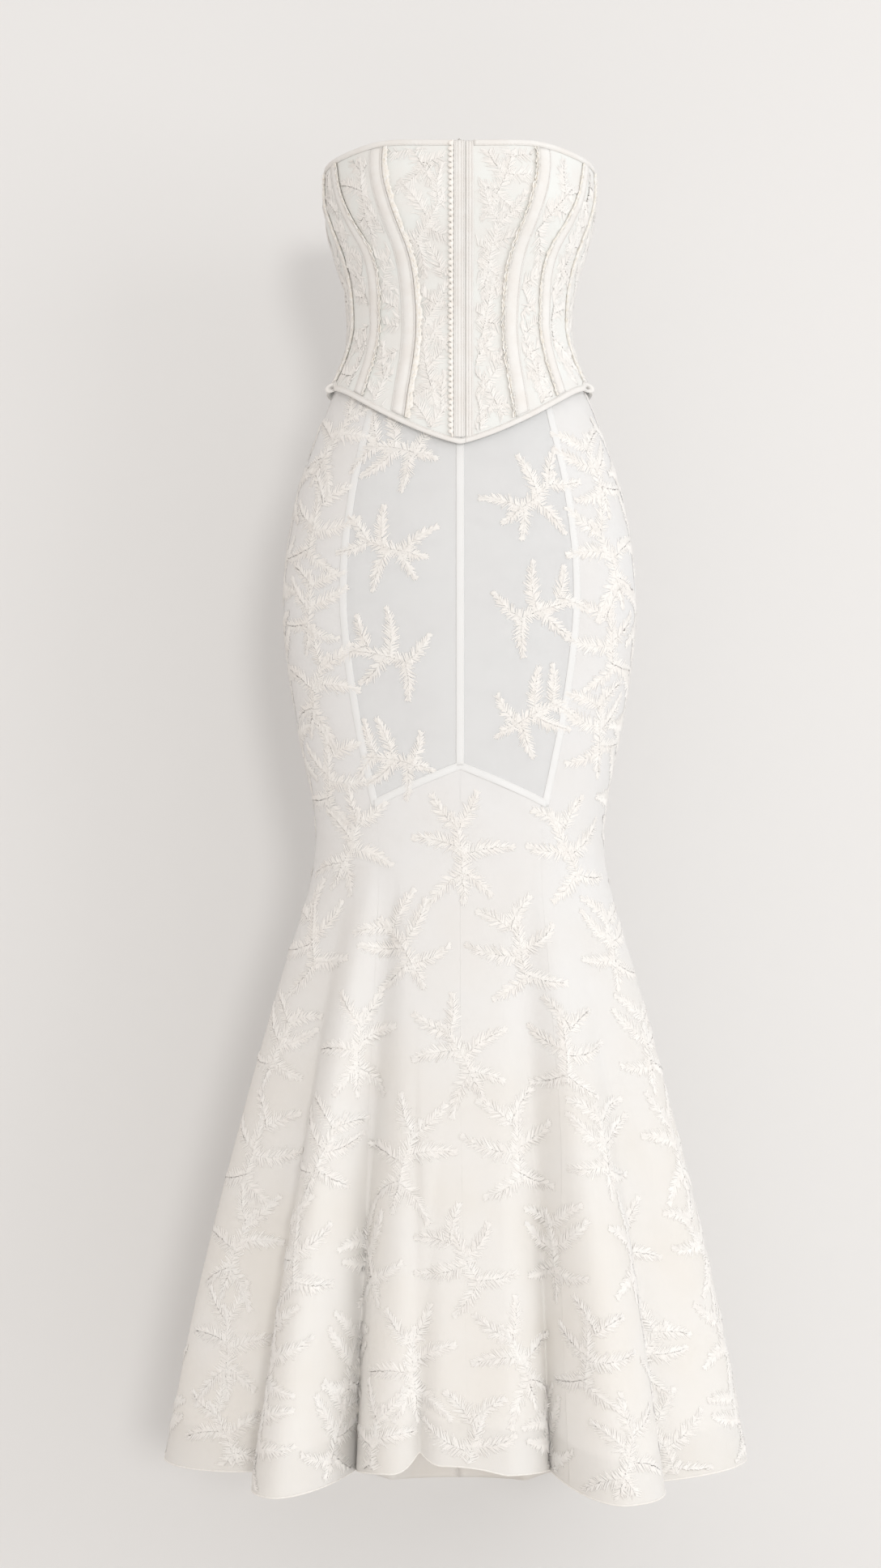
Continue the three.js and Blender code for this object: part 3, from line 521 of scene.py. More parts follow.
def bent_grid(name, columns, rows, place, closed=False):
    """A grid moved by place(u, v) to points in millimetres. u runs with the angle and v runs down."""
    shape = bmesh.new()
    shape.loops.layers.uv.new("cloth")
    bmesh.ops.create_grid(shape, x_segments=columns, y_segments=rows, size=0.5, calc_uvs=True)
    flat = np.array([vertex.co for vertex in shape.verts])
    points = place(flat[:, 0] + 0.5, 0.5 - flat[:, 1]) * MM
    for vertex, point in zip(shape.verts, points):
        vertex.co = point
    lattice = points.reshape(rows + 1, columns + 1, 3)
    width = np.linalg.norm(np.diff(lattice, axis=1), axis=-1).sum(1).max()
    length = np.linalg.norm(np.diff(lattice, axis=0), axis=-1).sum(0).max()
    layer = shape.loops.layers.uv["cloth"]
    for face in shape.faces:
        for corner in face.loops:
            corner[layer].uv = (corner[layer].uv[0] * width, corner[layer].uv[1] * length)
    if closed:
        bmesh.ops.remove_doubles(shape, verts=shape.verts, dist=1e-6)
        bmesh.ops.holes_fill(shape, edges=[edge for edge in shape.edges if edge.is_boundary])
        bmesh.ops.recalc_face_normals(shape, faces=shape.faces)
    piece = object_from(name, mesh_from(name, shape))
    piece["cut"] = (width, length, sum(face.area for face in piece.data.polygons))
    return piece


def thicken(piece, thickness, rim=True):
    wall = piece.modifiers.new("wall", "SOLIDIFY")
    wall.thickness = thickness * MM
    wall.offset = -1
    wall.use_rim = rim
    wall.use_even_offset = True
    return piece


def band(name, steps, surface, path, profile):
    """A closed profile of (across, height) pairs, carried along path(share, across) to an angle and z."""
    outline = np.array([*profile, profile[0]], float)

    def place(u, v):
        corner = np.rint(v * (len(outline) - 1)).astype(int)
        angle, z = path(u, outline[corner, 0])
        return lifted(surface, angle, z, outline[corner, 1])

    return bent_grid(name, steps, len(outline) - 1, place, closed=True)


# %% [markdown]
# Threads, stitches and leaves repeat by the thousand. Each is one tiny shape from an operator. Its
# vertices are copied to all their places at once, and the copies are one joined mesh.

# %% Joined copies of a small shape
def small_shape(make, **sizes):
    shape = bmesh.new()
    make(shape, **sizes)
    vertices = np.array([vertex.co for vertex in shape.verts])
    faces = [[vertex.index for vertex in face.verts] for face in shape.faces]
    shape.free()
    return vertices, faces


def joined_copies(name, faces, places):
    """One mesh from places, which holds every copy's vertices in millimetres."""
    copies, size = places.shape[:2]
    corners = np.concatenate(faces)
    counts = np.array([len(face) for face in faces])
    mesh = bpy.data.meshes.new(name)
    mesh.vertices.add(copies * size)
    mesh.loops.add(copies * len(corners))
    mesh.polygons.add(copies * len(faces))
    mesh.vertices.foreach_set("co", (places * MM).astype(np.float32).ravel())
    mesh.loops.foreach_set("vertex_index", (corners + np.arange(copies)[:, None] * size).ravel())
    starts = np.concatenate([[0], np.cumsum(counts)[:-1]]) + np.arange(copies)[:, None] * len(corners)
    mesh.polygons.foreach_set("loop_start", starts.ravel())
    mesh.update(calc_edges=True)
    mesh.validate()
    return object_from(name, mesh)


STITCH, STITCH_FACES = small_shape(bmesh.ops.create_uvsphere, u_segments=4, v_segments=2, radius=1)
THREAD, THREAD_FACES = small_shape(bmesh.ops.create_cone, segments=3, radius1=1, radius2=0.25, depth=1,
                                   cap_ends=True)
THREAD[:, 2] += 0.5             # it stands on its root


def unit(vectors):
    return vectors / np.linalg.norm(vectors, axis=-1, keepdims=True)


# %% [markdown]
# Every finish is a node material built on one pattern: a cloth colour that drifts a little between two
# tones, and a bump that gives the weave or the thread its grain. The weave reads the cloth's own UV map,
# in metres.

# %% Cloth finishes
TONE_DETAIL, GRAIN_DETAIL = 5, 3
UPPER_TONE_END, FLARE_TONE_START = -0.45, -0.95     # metres, between which one tone changes to the other


def noise_of(nodes, links, scale, detail):
    """An uneven pattern on the object's own coordinates."""
    noise = nodes.new("ShaderNodeTexNoise")
    noise.inputs["Scale"].default_value = scale
    noise.inputs["Detail"].default_value = detail
    links.new(nodes.new("ShaderNodeTexCoord").outputs["Object"], noise.inputs["Vector"])
    return noise.outputs["Fac"]


def mixed_tones(nodes, links, light, dark, scale):
    """Two tones that drift over the cloth."""
    ramp = nodes.new("ShaderNodeValToRGB")
    ramp.color_ramp.elements[0].position = 0.36
    ramp.color_ramp.elements[0].color = (*dark, 1)
    ramp.color_ramp.elements[1].position = 0.64
    ramp.color_ramp.elements[1].color = (*light, 1)
    links.new(noise_of(nodes, links, scale, TONE_DETAIL), ramp.inputs["Fac"])
    return ramp.outputs["Color"]


def weave_height(nodes, links, pitch):
    """Two crossing sets of yarns, pitch metres apart."""
    uv = nodes.new("ShaderNodeUVMap")
    uv.uv_map = "cloth"
    split = nodes.new("ShaderNodeSeparateXYZ")
    links.new(uv.outputs["UV"], split.inputs[0])
    yarns = []
    for axis in ("X", "Y"):
        count = nodes.new("ShaderNodeMath")
        count.operation = "MULTIPLY"
        count.inputs[1].default_value = 2 * np.pi / pitch
        links.new(split.outputs[axis], count.inputs[0])
        wave = nodes.new("ShaderNodeMath")
        wave.operation = "SINE"
        links.new(count.outputs[0], wave.inputs[0])
        yarns.append(wave.outputs[0])
    crossed = nodes.new("ShaderNodeMath")
    crossed.operation = "MULTIPLY"
    links.new(yarns[0], crossed.inputs[0])
    links.new(yarns[1], crossed.inputs[1])
    return crossed.outputs[0]


def tones_by_height(nodes, links, high, low):
    """The upper skirt's tone above the knee, which changes to the flare's tone below it."""
    split = nodes.new("ShaderNodeSeparateXYZ")
    links.new(nodes.new("ShaderNodeTexCoord").outputs["Object"], split.inputs[0])
    height = nodes.new("ShaderNodeMapRange")
    height.interpolation_type = "SMOOTHSTEP"
    height.inputs["From Min"].default_value = UPPER_TONE_END
    height.inputs["From Max"].default_value = FLARE_TONE_START
    links.new(split.outputs["Z"], height.inputs["Value"])
    mix = nodes.new("ShaderNodeMix")
    mix.data_type = "RGBA"
    links.new(height.outputs["Result"], mix.inputs["Factor"])
    links.new(high, mix.inputs["A"])
    links.new(low, mix.inputs["B"])
    return mix.outputs["Result"]


def cloth_material(name, light, dark, drift, grain, bump, roughness=0.85, alpha=1.0, sheen=0.15,
                   low_light=None, low_dark=None):
    """A cloth of two tones, with a grain that stands up by bump millimetres. low_ tones are the flare's."""
    material, nodes, links = new_material(name, {
        "Roughness": roughness, "Specular IOR Level": 0.25, "Sheen Weight": sheen, "Sheen Roughness": 0.5,
        "Alpha": alpha,
    })
    shader = nodes["Principled BSDF"]
    colour = mixed_tones(nodes, links, light, dark, drift)
    if low_light:
        flare_colour = mixed_tones(nodes, links, low_light, low_dark, drift)
        colour = tones_by_height(nodes, links, colour, flare_colour)
    links.new(colour, shader.inputs["Base Color"])
    relief = nodes.new("ShaderNodeBump")
    relief.inputs["Strength"].default_value = 0.5
    relief.inputs["Distance"].default_value = bump * MM
    links.new(grain(nodes, links), relief.inputs["Height"])
    links.new(relief.outputs["Normal"], shader.inputs["Normal"])
    return material


def woven(pitch):
    """The grain of a weave whose yarns are pitch millimetres apart."""
    return lambda nodes, links: weave_height(nodes, links, pitch * MM)


def spun(scale):
    """The uneven grain of loose thread."""
    return lambda nodes, links: noise_of(nodes, links, scale, GRAIN_DETAIL)


# %% [markdown]
# Each finish has two tones, the scale on which they drift, its grain and the height of that grain. Thin
# cloth is partly see through, and the skirt's is creamier towards the hem.

# %% The dress's finishes
corset_cotton = cloth_material("white corset cotton", (0.83, 0.845, 0.825), (0.82, 0.81, 0.785), 34,
                               woven(0.5), 0.05)
twill_tape = cloth_material("white twill tape", (0.86, 0.85, 0.83), (0.83, 0.805, 0.775), 60,
                            woven(0.6), 0.08)
raw_thread = cloth_material("cream raw edge thread", (0.97, 0.96, 0.94), (0.92, 0.88, 0.81), 300,
                            spun(2500), 0.06)
leaf_thread = cloth_material("cream clipped leaf thread", (0.925, 0.91, 0.885), (0.90, 0.875, 0.845), 55,
                             spun(1800), 0.08, roughness=0.7, sheen=0.3)
sheer_voile = cloth_material("sheer white voile", (0.93, 0.94, 0.945), (0.92, 0.925, 0.93), 12,
                             woven(0.45), 0.03, alpha=0.56)
dense_voile = cloth_material("embroidered white voile", (0.94, 0.94, 0.94), (0.93, 0.92, 0.91), 12,
                             woven(0.45), 0.03, alpha=0.72,
                             low_light=(0.95, 0.935, 0.91), low_dark=(0.935, 0.91, 0.87))
seam_voile = cloth_material("folded voile of the seams", (0.93, 0.935, 0.935), (0.91, 0.915, 0.91), 30,
                            woven(0.45), 0.03, alpha=0.85,
                            low_light=(0.93, 0.905, 0.87), low_dark=(0.91, 0.87, 0.82))
stitch_thread = cloth_material("white sewing thread", (0.90, 0.88, 0.85), (0.84, 0.81, 0.77), 300,
                               spun(3000), 0.03)
picot_cotton = cloth_material("cream picot cotton", (0.93, 0.91, 0.88), (0.88, 0.84, 0.79), 260,
                              spun(2200), 0.08)

hook_wire, hook_nodes, hook_links = new_material("dull nickel wire", {"Metallic": 1, "Roughness": 0.32})
hook_noise = hook_nodes.new("ShaderNodeTexNoise")
hook_noise.inputs["Scale"].default_value = 900
hook_ramp = hook_nodes.new("ShaderNodeValToRGB")
hook_ramp.color_ramp.elements[0].color = (0.30, 0.28, 0.26, 1)
hook_ramp.color_ramp.elements[1].color = (0.52, 0.50, 0.47, 1)
hook_links.new(hook_noise.outputs["Fac"], hook_ramp.inputs["Fac"])
hook_links.new(hook_ramp.outputs["Color"], hook_nodes["Principled BSDF"].inputs["Base Color"])
print("finishes:", len(bpy.data.materials))


def dress(piece, material, slot, *nodes):
    """Gives a piece its finish and its place on the dress."""
    piece.data.materials.append(material)
    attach(piece, "root")
    if nodes:
        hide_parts(*nodes)
    return piece


def stitch_line(name, surface, path, across, shares, height, slot, size=(0.28, 1.15, 0.3)):
    """Stitches along path(share, across). shares is the first and the last share and the count of them, and
    size is half a stitch's width, length and height."""
    angle, z = path(np.linspace(*shares), across)
    points = lifted(surface, angle, z, height)
    ahead = unit(np.gradient(points, axis=0))
    normal = normal_of(surface, angle, z)
    side = unit(np.cross(ahead, normal))
    axes = np.stack([side * size[0], ahead * size[1], normal * size[2]], 1)
    line = joined_copies(name, STITCH_FACES, points[:, None] + STITCH @ axes)
    return dress(line, stitch_thread, slot)


# %% [markdown]
# The corset is twelve panels, six a side, each cut long and narrow and curved along its seams. A panel is
# a grid between two seams, from the top edge to the lower edge, thickened inwards to a lined cotton wall.

# %% Corset panels
SIDES = {"left": -1, "right": 1}
CORSET_PANELS = {
    "front": ("centreFront", "princess"), "cup_side": ("princess", "sideFront"),
    "side_front": ("sideFront", "side"), "side_back": ("side", "sideBack"),
    "back_side": ("sideBack", "back"), "back": ("back", "centreBack"),
}
HAIRLINE = 0.06                 # millimetres between a panel's edge and the middle of its seam
CORSET_WALL = 1.3
FIRST_TOP, FIRST_FOOT = 170, -80        # heights from which the search for a point on a seam begins


def between_seams(seams, first, last, sign, u, z, surface):
    """The angle at share u of the way across a piece, which runs with the angle on both sides of the body."""
    gap = HAIRLINE * degrees_per_mm(surface, sign * seam_angle(seams, last, z) * 0.5, z)
    low, high = seam_angle(seams, first, z) + gap, seam_angle(seams, last, z) - gap
    return lerp(low, high, u) if sign > 0 else -lerp(high, low, u)


def panel_place(first, last, sign):
    def place(u, v):
        angle, z = settled(lambda z: between_seams(CORSET_SEAMS, first, last, sign, u, z, corset_point),
                           lambda angle: corset_height(angle, v), lerp(FIRST_TOP, FIRST_FOOT, v), 4)
        return lifted(corset_point, angle, z, 0)

    return place


corset = {}
for panel, (first, last) in CORSET_PANELS.items():
    for side, sign in SIDES.items():
        name = f"corset_{panel}_{side}"
        piece = bent_grid(f"panel_{panel}_{side}", 20, 72, panel_place(first, last, sign))
        corset[panel, side] = dress(thicken(piece, CORSET_WALL), corset_cotton, "corset_cloth", name)
print("corset panels:", len(corset))

# %% [markdown]
# Each seam is covered by a casing, a tape stitched down along both edges with a bone inside. The seam's
# raw allowance stands up beside it, nearer the centre front, and has frayed into a soft ragged ruffle.
# The tape is a band with a rounded back, the ruffle is a wavy standing strip, and loose threads stand out
# of it.

# %% Casings, raw edges and stitches
CASINGS = {"princess": 16, "sideFront": 14, "side": 11, "sideBack": 11, "back": 11}
CASING_STOP = 5.6               # millimetres from the corset's edges
CASING_ROWS = (0.13, 0.87)      # shares of the tape's width at which its stitches run
SEAM_LENGTH = 247
BACK_CASING = 14
RAW_WALL, RAW_SWAY, RAW_STATIONS = 0.6, 0.8, 240
THREADS_PER_MM, LOOSE_RADIUS, LOOSE_LENGTHS = 2.6, 0.16, (1.5, 3.8)
RUFFLES = {                     # height of each raw edge, and how far its two plies lean to the centre front
    "princess": {"left": (3.0, (-6.2, -3.0)), "right": (3.6, (-2.2, 0.0))},
    "sideFront": {"left": (3.4, (-2.4, -0.4)), "right": (2.8, (-1.2, 0.3))},
    "side": {"left": (3.0, (-1.4, 0.4)), "right": (2.8, (-1.0, 0.4))},
    "sideBack": {"left": (3.0, (-1.6, 0.2)), "right": (3.0, (-1.8, 0.1))},
    "back": {"left": (3.2, (-1.8, 0.1)), "right": (3.2, (-1.6, 0.2))},
}
rng = np.random.default_rng(11)


def seam_path(seam, sign):
    """path(share, across) down a corset seam, between the bound edges."""
    def path(share, across):
        share = lerp(CASING_STOP / SEAM_LENGTH, 1 - CASING_STOP / SEAM_LENGTH, share)
        angle, z = settled(lambda z: sign * seam_angle(CORSET_SEAMS, seam, z),
                           lambda angle: corset_height(angle, share), lerp(FIRST_TOP, FIRST_FOOT, share), 5)
        angle = angle + sign * across * degrees_per_mm(corset_point, angle, z)
        return angle, corset_height(angle, share)

    return path


def casing_profile(width):
    """A tape that lies flat at its stitched edges and swells over the bone."""
    swell = [(0.03, 0.7), (0.09, 0.95), (0.14, 0.5), (0.2, 1.15), (0.5, 1.7), (0.8, 1.15), (0.86, 0.5),
             (0.91, 0.95), (0.97, 0.7)]
    return [(0, 0.1), *[(share * width, height) for share, height in swell], (width, 0.1)]


def raw_edge(name, path, length, height, leans):
    """A ragged ruffle standing on a seam, and the threads that have come loose from it."""
    stations = np.linspace(0, 1, RAW_STATIONS)
    window = np.hanning(5) / 1.5
    ruffles = []
    for ply, lean in enumerate(leans):
        sway = lean + RAW_SWAY * np.convolve(rng.normal(0, 1, RAW_STATIONS), window, "same")
        rise = 0.86 + 0.12 * np.convolve(rng.normal(0, 1, RAW_STATIONS), window, "same")

        def place(u, v):
            angle, z = path(u, -0.7 + np.interp(u, stations, sway) * v**1.3)
            return lifted(corset_point, angle, z, 0.2 + height * v * np.interp(u, stations, rise))

        ruffle = bent_grid(f"{name}_ply_{ply}", RAW_STATIONS, 3, place)
        ruffles.append(dress(thicken(ruffle, RAW_WALL), raw_thread, "tape"))
    count = int(length * THREADS_PER_MM)
    share = rng.uniform(0, 1, count)
    angle, z = path(share, min(leans) * 0.6 + rng.normal(0, 1.0, count))
    root = lifted(corset_point, angle, z, height * rng.uniform(0.2, 0.95, count))
    normal = normal_of(corset_point, angle, z)
    stray = unit(normal * 0.7 + rng.normal(0, 0.8, (count, 3)))
    side = unit(np.cross(stray, rng.normal(0, 1, (count, 3))))
    other = np.cross(stray, side)
    reach = rng.uniform(*LOOSE_LENGTHS, count)[:, None]
    axes = np.stack([side * LOOSE_RADIUS, other * LOOSE_RADIUS, stray * reach], 1)
    threads = joined_copies(f"{name}_threads", THREAD_FACES, root[:, None] + THREAD @ axes)
    return [*ruffles, dress(threads, raw_thread, "tape")]


# %% [markdown]
# Each seam gets its tape, its raw edge and two rows of stitches. The centre back has a tape alone.

# %% Casings in place
casings = {}
for seam, width in CASINGS.items():
    for side, sign in SIDES.items():
        path = seam_path(seam, sign)
        tape = band(f"tape_{seam}_{side}", 90, corset_point, path, casing_profile(width))
        casings[seam, side] = [dress(tape, twill_tape, "tape", f"casing_{seam}_{side}")]
        casings[seam, side] += raw_edge(f"raw_edge_{seam}_{side}", path, SEAM_LENGTH - 2 * CASING_STOP,
                                        *RUFFLES[seam][side])
        for row, part in enumerate(CASING_ROWS):
            name = f"casing_stitches_{seam}_{side}_{row}"
            line = stitch_line(name, corset_point, path, part * width, (0.005, 0.995, 84), 0.95, "tape")
            casings[seam, side].append(line)
back_path = seam_path("centreBack", 1)


def centre_back_path(share, across):
    return back_path(share, across - BACK_CASING / 2)


back_tape = band("tape_centre_back", 90, corset_point, centre_back_path, casing_profile(BACK_CASING))
back_casing = dress(back_tape, twill_tape, "tape", "casing_centre_back")
print("casings:", len(casings) + 1)

# %% [markdown]
# The top edge and the basque are bound with a narrow folded strip. Its outline is a rounded roll, and a
# line of stitches runs just inside it.

# %% Bound edges
def edge_path(edge, inward, start, end):
    def path(share, across):
        angle = lerp(start, end, share)
        return angle, edge(angle) + inward * across

    return path


BINDING = [(-0.5, 0.0), (-0.9, 0.7), (-0.4, 1.45), (1.4, 1.6), (3.4, 1.35), (4.9, 0.9), (5.2, 0.15)]
BINDING_STITCHES = 3.9          # millimetres in from the edge
FLY_LEFT, FLY_RIGHT, BAND_RIGHT = -6.5, 5, 13.6


def front_degrees_per_mm(z):
    return degrees_per_mm(corset_point, np.zeros(1), np.full(1, z))[0]


top_degrees, point_degrees = front_degrees_per_mm(173.0), front_degrees_per_mm(-130.0)
edges = {}
for side, sign in SIDES.items():
    fly_side = (FLY_LEFT if sign < 0 else BAND_RIGHT) * top_degrees
    meet = (FLY_RIGHT + 0.15) * point_degrees
    spans = {
        f"top_edge_{side}": (top_edge, -1, fly_side, sign * 180),
        f"basque_edge_front_{side}": (lower_edge, 1, meet, sign * SIDE_ANGLE),
        f"basque_edge_back_{side}": (lower_edge, 1, sign * SIDE_ANGLE, sign * 180),
    }
    for node, (edge, inward, start, end) in spans.items():
        path = edge_path(edge, inward, min(start, end), max(start, end))
        roll = dress(band(f"binding_{node}", 150, corset_point, path, BINDING), twill_tape, "tape", node)
        line = stitch_line(f"binding_stitches_{node}", corset_point, path, BINDING_STITCHES,
                           (0.004, 0.996, 110), 1.35, "tape")
        edges[node] = [roll, line]
print("bound edges:", len(edges))

# %% [markdown]
# At each side vent the binding's end is folded over into a short plump loop, which stands out beyond the
# corner. A loop is a ring: a small circle spun once round, then stretched along its length and tilted to
# hang a little.

# %% Loops at the side vents
LOOP_RADIUS, LOOP_TAPE, LOOP_TILT = 3.0, 1.7, 24
LOOP_STRETCH = (1.6, 0.9, 1, 1)
LOOP_OUT, LOOP_BEHIND, LOOP_DROP = 2.6, 2.0, 2.6


def vent_loop(side, sign):
    angle = np.array([sign * SIDE_ANGLE])
    centre = Vector(corset_point(angle, lower_edge(angle))[0] + [sign * LOOP_OUT, LOOP_BEHIND, -LOOP_DROP])
    tilt = Matrix.Rotation(np.radians(sign * LOOP_TILT), 4, "Y")
    place = Matrix.Translation(centre) @ tilt @ Matrix.Diagonal(LOOP_STRETCH)
    shape = bmesh.new()
    start = Matrix.Translation((LOOP_RADIUS, 0, 0))
    bmesh.ops.create_circle(shape, segments=10, radius=LOOP_TAPE, matrix=start)
    bmesh.ops.spin(shape, geom=[*shape.verts, *shape.edges], axis=(0, 1, 0), cent=(0, 0, 0),
                   angle=2 * np.pi, steps=20, use_merge=True)
    bmesh.ops.remove_doubles(shape, verts=shape.verts, dist=1e-4)
    bmesh.ops.recalc_face_normals(shape, faces=shape.faces)
    bmesh.ops.transform(shape, matrix=Matrix.Scale(MM, 4) @ place, verts=shape.verts)
    name = f"vent_loop_{side}"
    return dress(object_from(name, mesh_from(name, shape)), twill_tape, "tape")


vent_loops = [vent_loop(side, sign) for side, sign in SIDES.items()]
print("vent loops:", len(vent_loops))

# %% [markdown]
# The front opens beside the centre. A fly of folded tape covers the opening, with rows of stitches down
# it, and a narrower band lies under its right edge.

# %% Fly and band
FLY_GROOVES = (-4.9, -2.6, 0.9, 3.4)
BAND_GROOVES = (8.4, 11.6)
FLY_THICKNESS, BAND_THICKNESS = 1.9, 1.2
BAND_LEFT = 5.8                 # the band's left edge, hidden by the fly's right one
ABOVE_POINT = 6                 # millimetres above the point of the basque at which the fly ends
FRONT_LENGTH = 298


def front_path(share, across):
    z = lerp(top_edge(0.0), lower_edge(0.0) + ABOVE_POINT, share)
    return across * degrees_per_mm(corset_point, 0 * z, z), z


def strip_profile(left, right, thickness, grooves):
    """A strip with soft corners and a groove at each line of stitches."""
    soft = 0.45
    top = [(left, thickness - soft), (left + soft, thickness)]
    for across in grooves:
        top += [(across - soft, thickness), (across, thickness - 0.5), (across + soft, thickness)]
    return [(left, 0.2), *top, (right - soft, thickness), (right, thickness - soft), (right, 0.2)]


fly_profile = strip_profile(FLY_LEFT, FLY_RIGHT, FLY_THICKNESS, FLY_GROOVES)
band_profile = strip_profile(BAND_LEFT, BAND_RIGHT, BAND_THICKNESS, BAND_GROOVES)
fly = dress(band("fly", 120, corset_point, front_path, fly_profile), twill_tape, "tape", "front_fly")
under_band = dress(band("under_band", 120, corset_point, front_path, band_profile), twill_tape, "tape",
                   "front_under_band")
front_lines = [
    stitch_line(f"fly_stitches_{row}", corset_point, front_path, across, (0.004, 0.996, 104),
                (FLY_THICKNESS if across < FLY_RIGHT else BAND_THICKNESS) - 0.4, "tape",
                size=(0.3, 1.2, 0.22))
    for row, across in enumerate((*FLY_GROOVES, *BAND_GROOVES))
]
print("fly's stitch lines:", len(front_lines))

# %% [markdown]
# A picot trim runs down the fly's left edge, a row of plump stitched loops on a raised strip that casts a
# narrow shadow on the panel beside it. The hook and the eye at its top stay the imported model's own, in
# nickel wire.

# %% Picot trim, hook and eye
BEAD_PITCH = 5.9
BEAD_LEFT, BEAD_LIFT = 3.1, 1.7     # from the fly to the middle of the beads, and out of the cloth
BEAD_SIZE = (2.9, 2.6, 1.6)     # half a bead's width, length and height
PICOT_WAVE = 0.25
BEAD, BEAD_FACES = small_shape(bmesh.ops.create_uvsphere, u_segments=8, v_segments=6, radius=1)
bead_share = np.arange(BEAD_PITCH / 2, FRONT_LENGTH - BEAD_PITCH / 2, BEAD_PITCH) / FRONT_LENGTH
bead_angle, bead_z = front_path(bead_share, FLY_LEFT - BEAD_LEFT)
bead_points = lifted(corset_point, bead_angle, bead_z, BEAD_LIFT)
bead_normal = normal_of(corset_point, bead_angle, bead_z)
bead_up = unit(np.gradient(-bead_points, axis=0))
bead_side = unit(np.cross(bead_up, bead_normal))
swell = rng.uniform(0.92, 1.08, len(bead_share))[:, None]
bead_axes = np.stack([bead_side * BEAD_SIZE[0] * swell, bead_up * BEAD_SIZE[1] * swell,
                      bead_normal * BEAD_SIZE[2]], 1)
beads = joined_copies("picot_loops", BEAD_FACES, bead_points[:, None] + BEAD @ bead_axes)
dress(beads, picot_cotton, "frill")


def picot_path(share, across):
    return front_path(share, across + PICOT_WAVE * np.sin(share * FRONT_LENGTH / BEAD_PITCH * 2 * np.pi))


picot = band("picot_strip", 300, corset_point, picot_path,
             [(-9.0, 0.6), (-9.2, 2.2), (-8.2, 2.8), (-7.1, 2.2), (-6.8, 0.2)])
dress(picot, picot_cotton, "frill", "picot_trim")
for node in ("hook", "eye"):
    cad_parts[node].data.materials.clear()
    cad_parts[node].data.materials.append(hook_wire)
print("picot loops:", len(bead_share))

# %% [markdown]
# The skirt's gores hang from inside the corset. Their voile is thin, so a shell of half a millimetre with
# a see through face on each side lets the light and the seams behind it show, as the real cloth does. The
# shell has no rim, because every edge meets the next gore's, the corset or the hem, and a rim would draw
# a dark line there.

# %% Skirt gores
def gore_place(first, last, sign, top, bottom, lift=0):
    def place(u, v):
        angle, z = settled(lambda z: between_seams(SKIRT_SEAMS, first, last, sign, u, z, skirt_point),
                           lambda angle: lerp(top(angle), bottom(angle), v),
                           lerp(top(np.zeros(1)), bottom(np.zeros(1)), v), 5)
        return lifted(skirt_point, angle, z, lift)

    return place


GORES = {
    "front": ("centreFront", "princess", waist_line, knee_seam, 24, 56),
    "front_flare": ("centreFront", "princess", knee_seam, hem_line, 36, 72),
    "side_front": ("princess", "side", waist_line, hem_line, 70, 112),
    "side_back": ("side", "back", waist_line, hem_line, 52, 112),
    "back": ("back", "centreBack", waist_line, hem_line, 36, 112),
}
VOILE_WALL = 0.5
gores = {}
for gore, (first, last, top, bottom, columns, rows) in GORES.items():
    for side, sign in SIDES.items():
        piece = bent_grid(f"gore_{gore}_{side}", columns, rows, gore_place(first, last, sign, top, bottom))
        voile = sheer_voile if gore == "front" else dense_voile
        thicken(piece, VOILE_WALL, rim=False)
        gores[gore, side] = dress(piece, voile, "voile", f"skirt_{gore}_{side}")
print("gores:", len(gores))

# %% [markdown]
# Where two gores meet above the knee, the allowances are folded and felled, so the seam reads as a whiter
# stripe about 8 mm wide with a line of stitches. Below the knee it is a plain seam that hardly shows.

# %% Felled seams
FELL_HALF = 4                   # millimetres from a felled seam's middle to its edge
FELL = [(-FELL_HALF, 0.05), (-FELL_HALF, 0.35), (0.6 - FELL_HALF, 0.6), (FELL_HALF - 0.6, 0.6),
        (FELL_HALF, 0.35), (FELL_HALF, 0.05)]
FELL_END = -506                 # where the felled seams end, at the knee
SEAM_STITCH = (0.2, 1.0, 0.2)
KNEE_SPAN = 33.0                # degrees to each side of the centre front


def gore_seam_path(seam, sign, top, bottom):
    def path(share, across):
        angle, z = settled(lambda z: sign * seam_angle(SKIRT_SEAMS, seam, z),
                           lambda angle: lerp(top(angle), bottom(angle), share),
                           lerp(top(np.zeros(1)), bottom(np.zeros(1)), share), 4)
        return walk_round(SKIRT_ARCS, z, angle, across), z

    return path


def knee_path(share, across):
    angle = lerp(-KNEE_SPAN, KNEE_SPAN, share)
    return angle, knee_seam(angle) + across


def fell_end(angle):
    return FELL_END + 0 * np.asarray(angle, float)


def felled_seam(name, steps, path, across, shares):
    """A folded strip over a seam, and its line of stitches."""
    strip = band(f"felled_seam_{name}", steps, skirt_point, path, FELL)
    line = stitch_line(f"seam_stitches_{name}", skirt_point, path, across, shares, 0.62, "voile",
                       size=SEAM_STITCH)
    return [dress(strip, seam_voile, "voile"), line]


seam_lines = {"centre_front": ("centreFront", 1), "centre_back": ("centreBack", 1)}
for side, sign in SIDES.items():
    seam_lines |= {f"{seam}_{side}": (seam, sign) for seam in ("princess", "side", "back")}
seams = {}
for name, (seam, sign) in seam_lines.items():
    path = gore_seam_path(seam, sign, waist_line, knee_seam if name == "centre_front" else fell_end)
    seams[name] = felled_seam(name, 110, path, FELL_HALF - 1, (0.01, 0.998, 130))
seams["knee"] = felled_seam("knee", 80, knee_path, FELL_HALF - 1, (0.01, 0.99, 70))
print("seams:", len(seams))

# %% [markdown]
# The hem is turned up 43 mm inside the gores and finished with a tiny whipped roll all round.

# %% Hem
HEM_DEPTH, HEM_WALL = 43, 0.4
HEM_INSIDE = -0.8
HEM_ROLL = [(-0.5, -0.3), (-0.2, 0.35), (0.9, 0.4), (1.3, -0.4), (0.2, -1.0)]


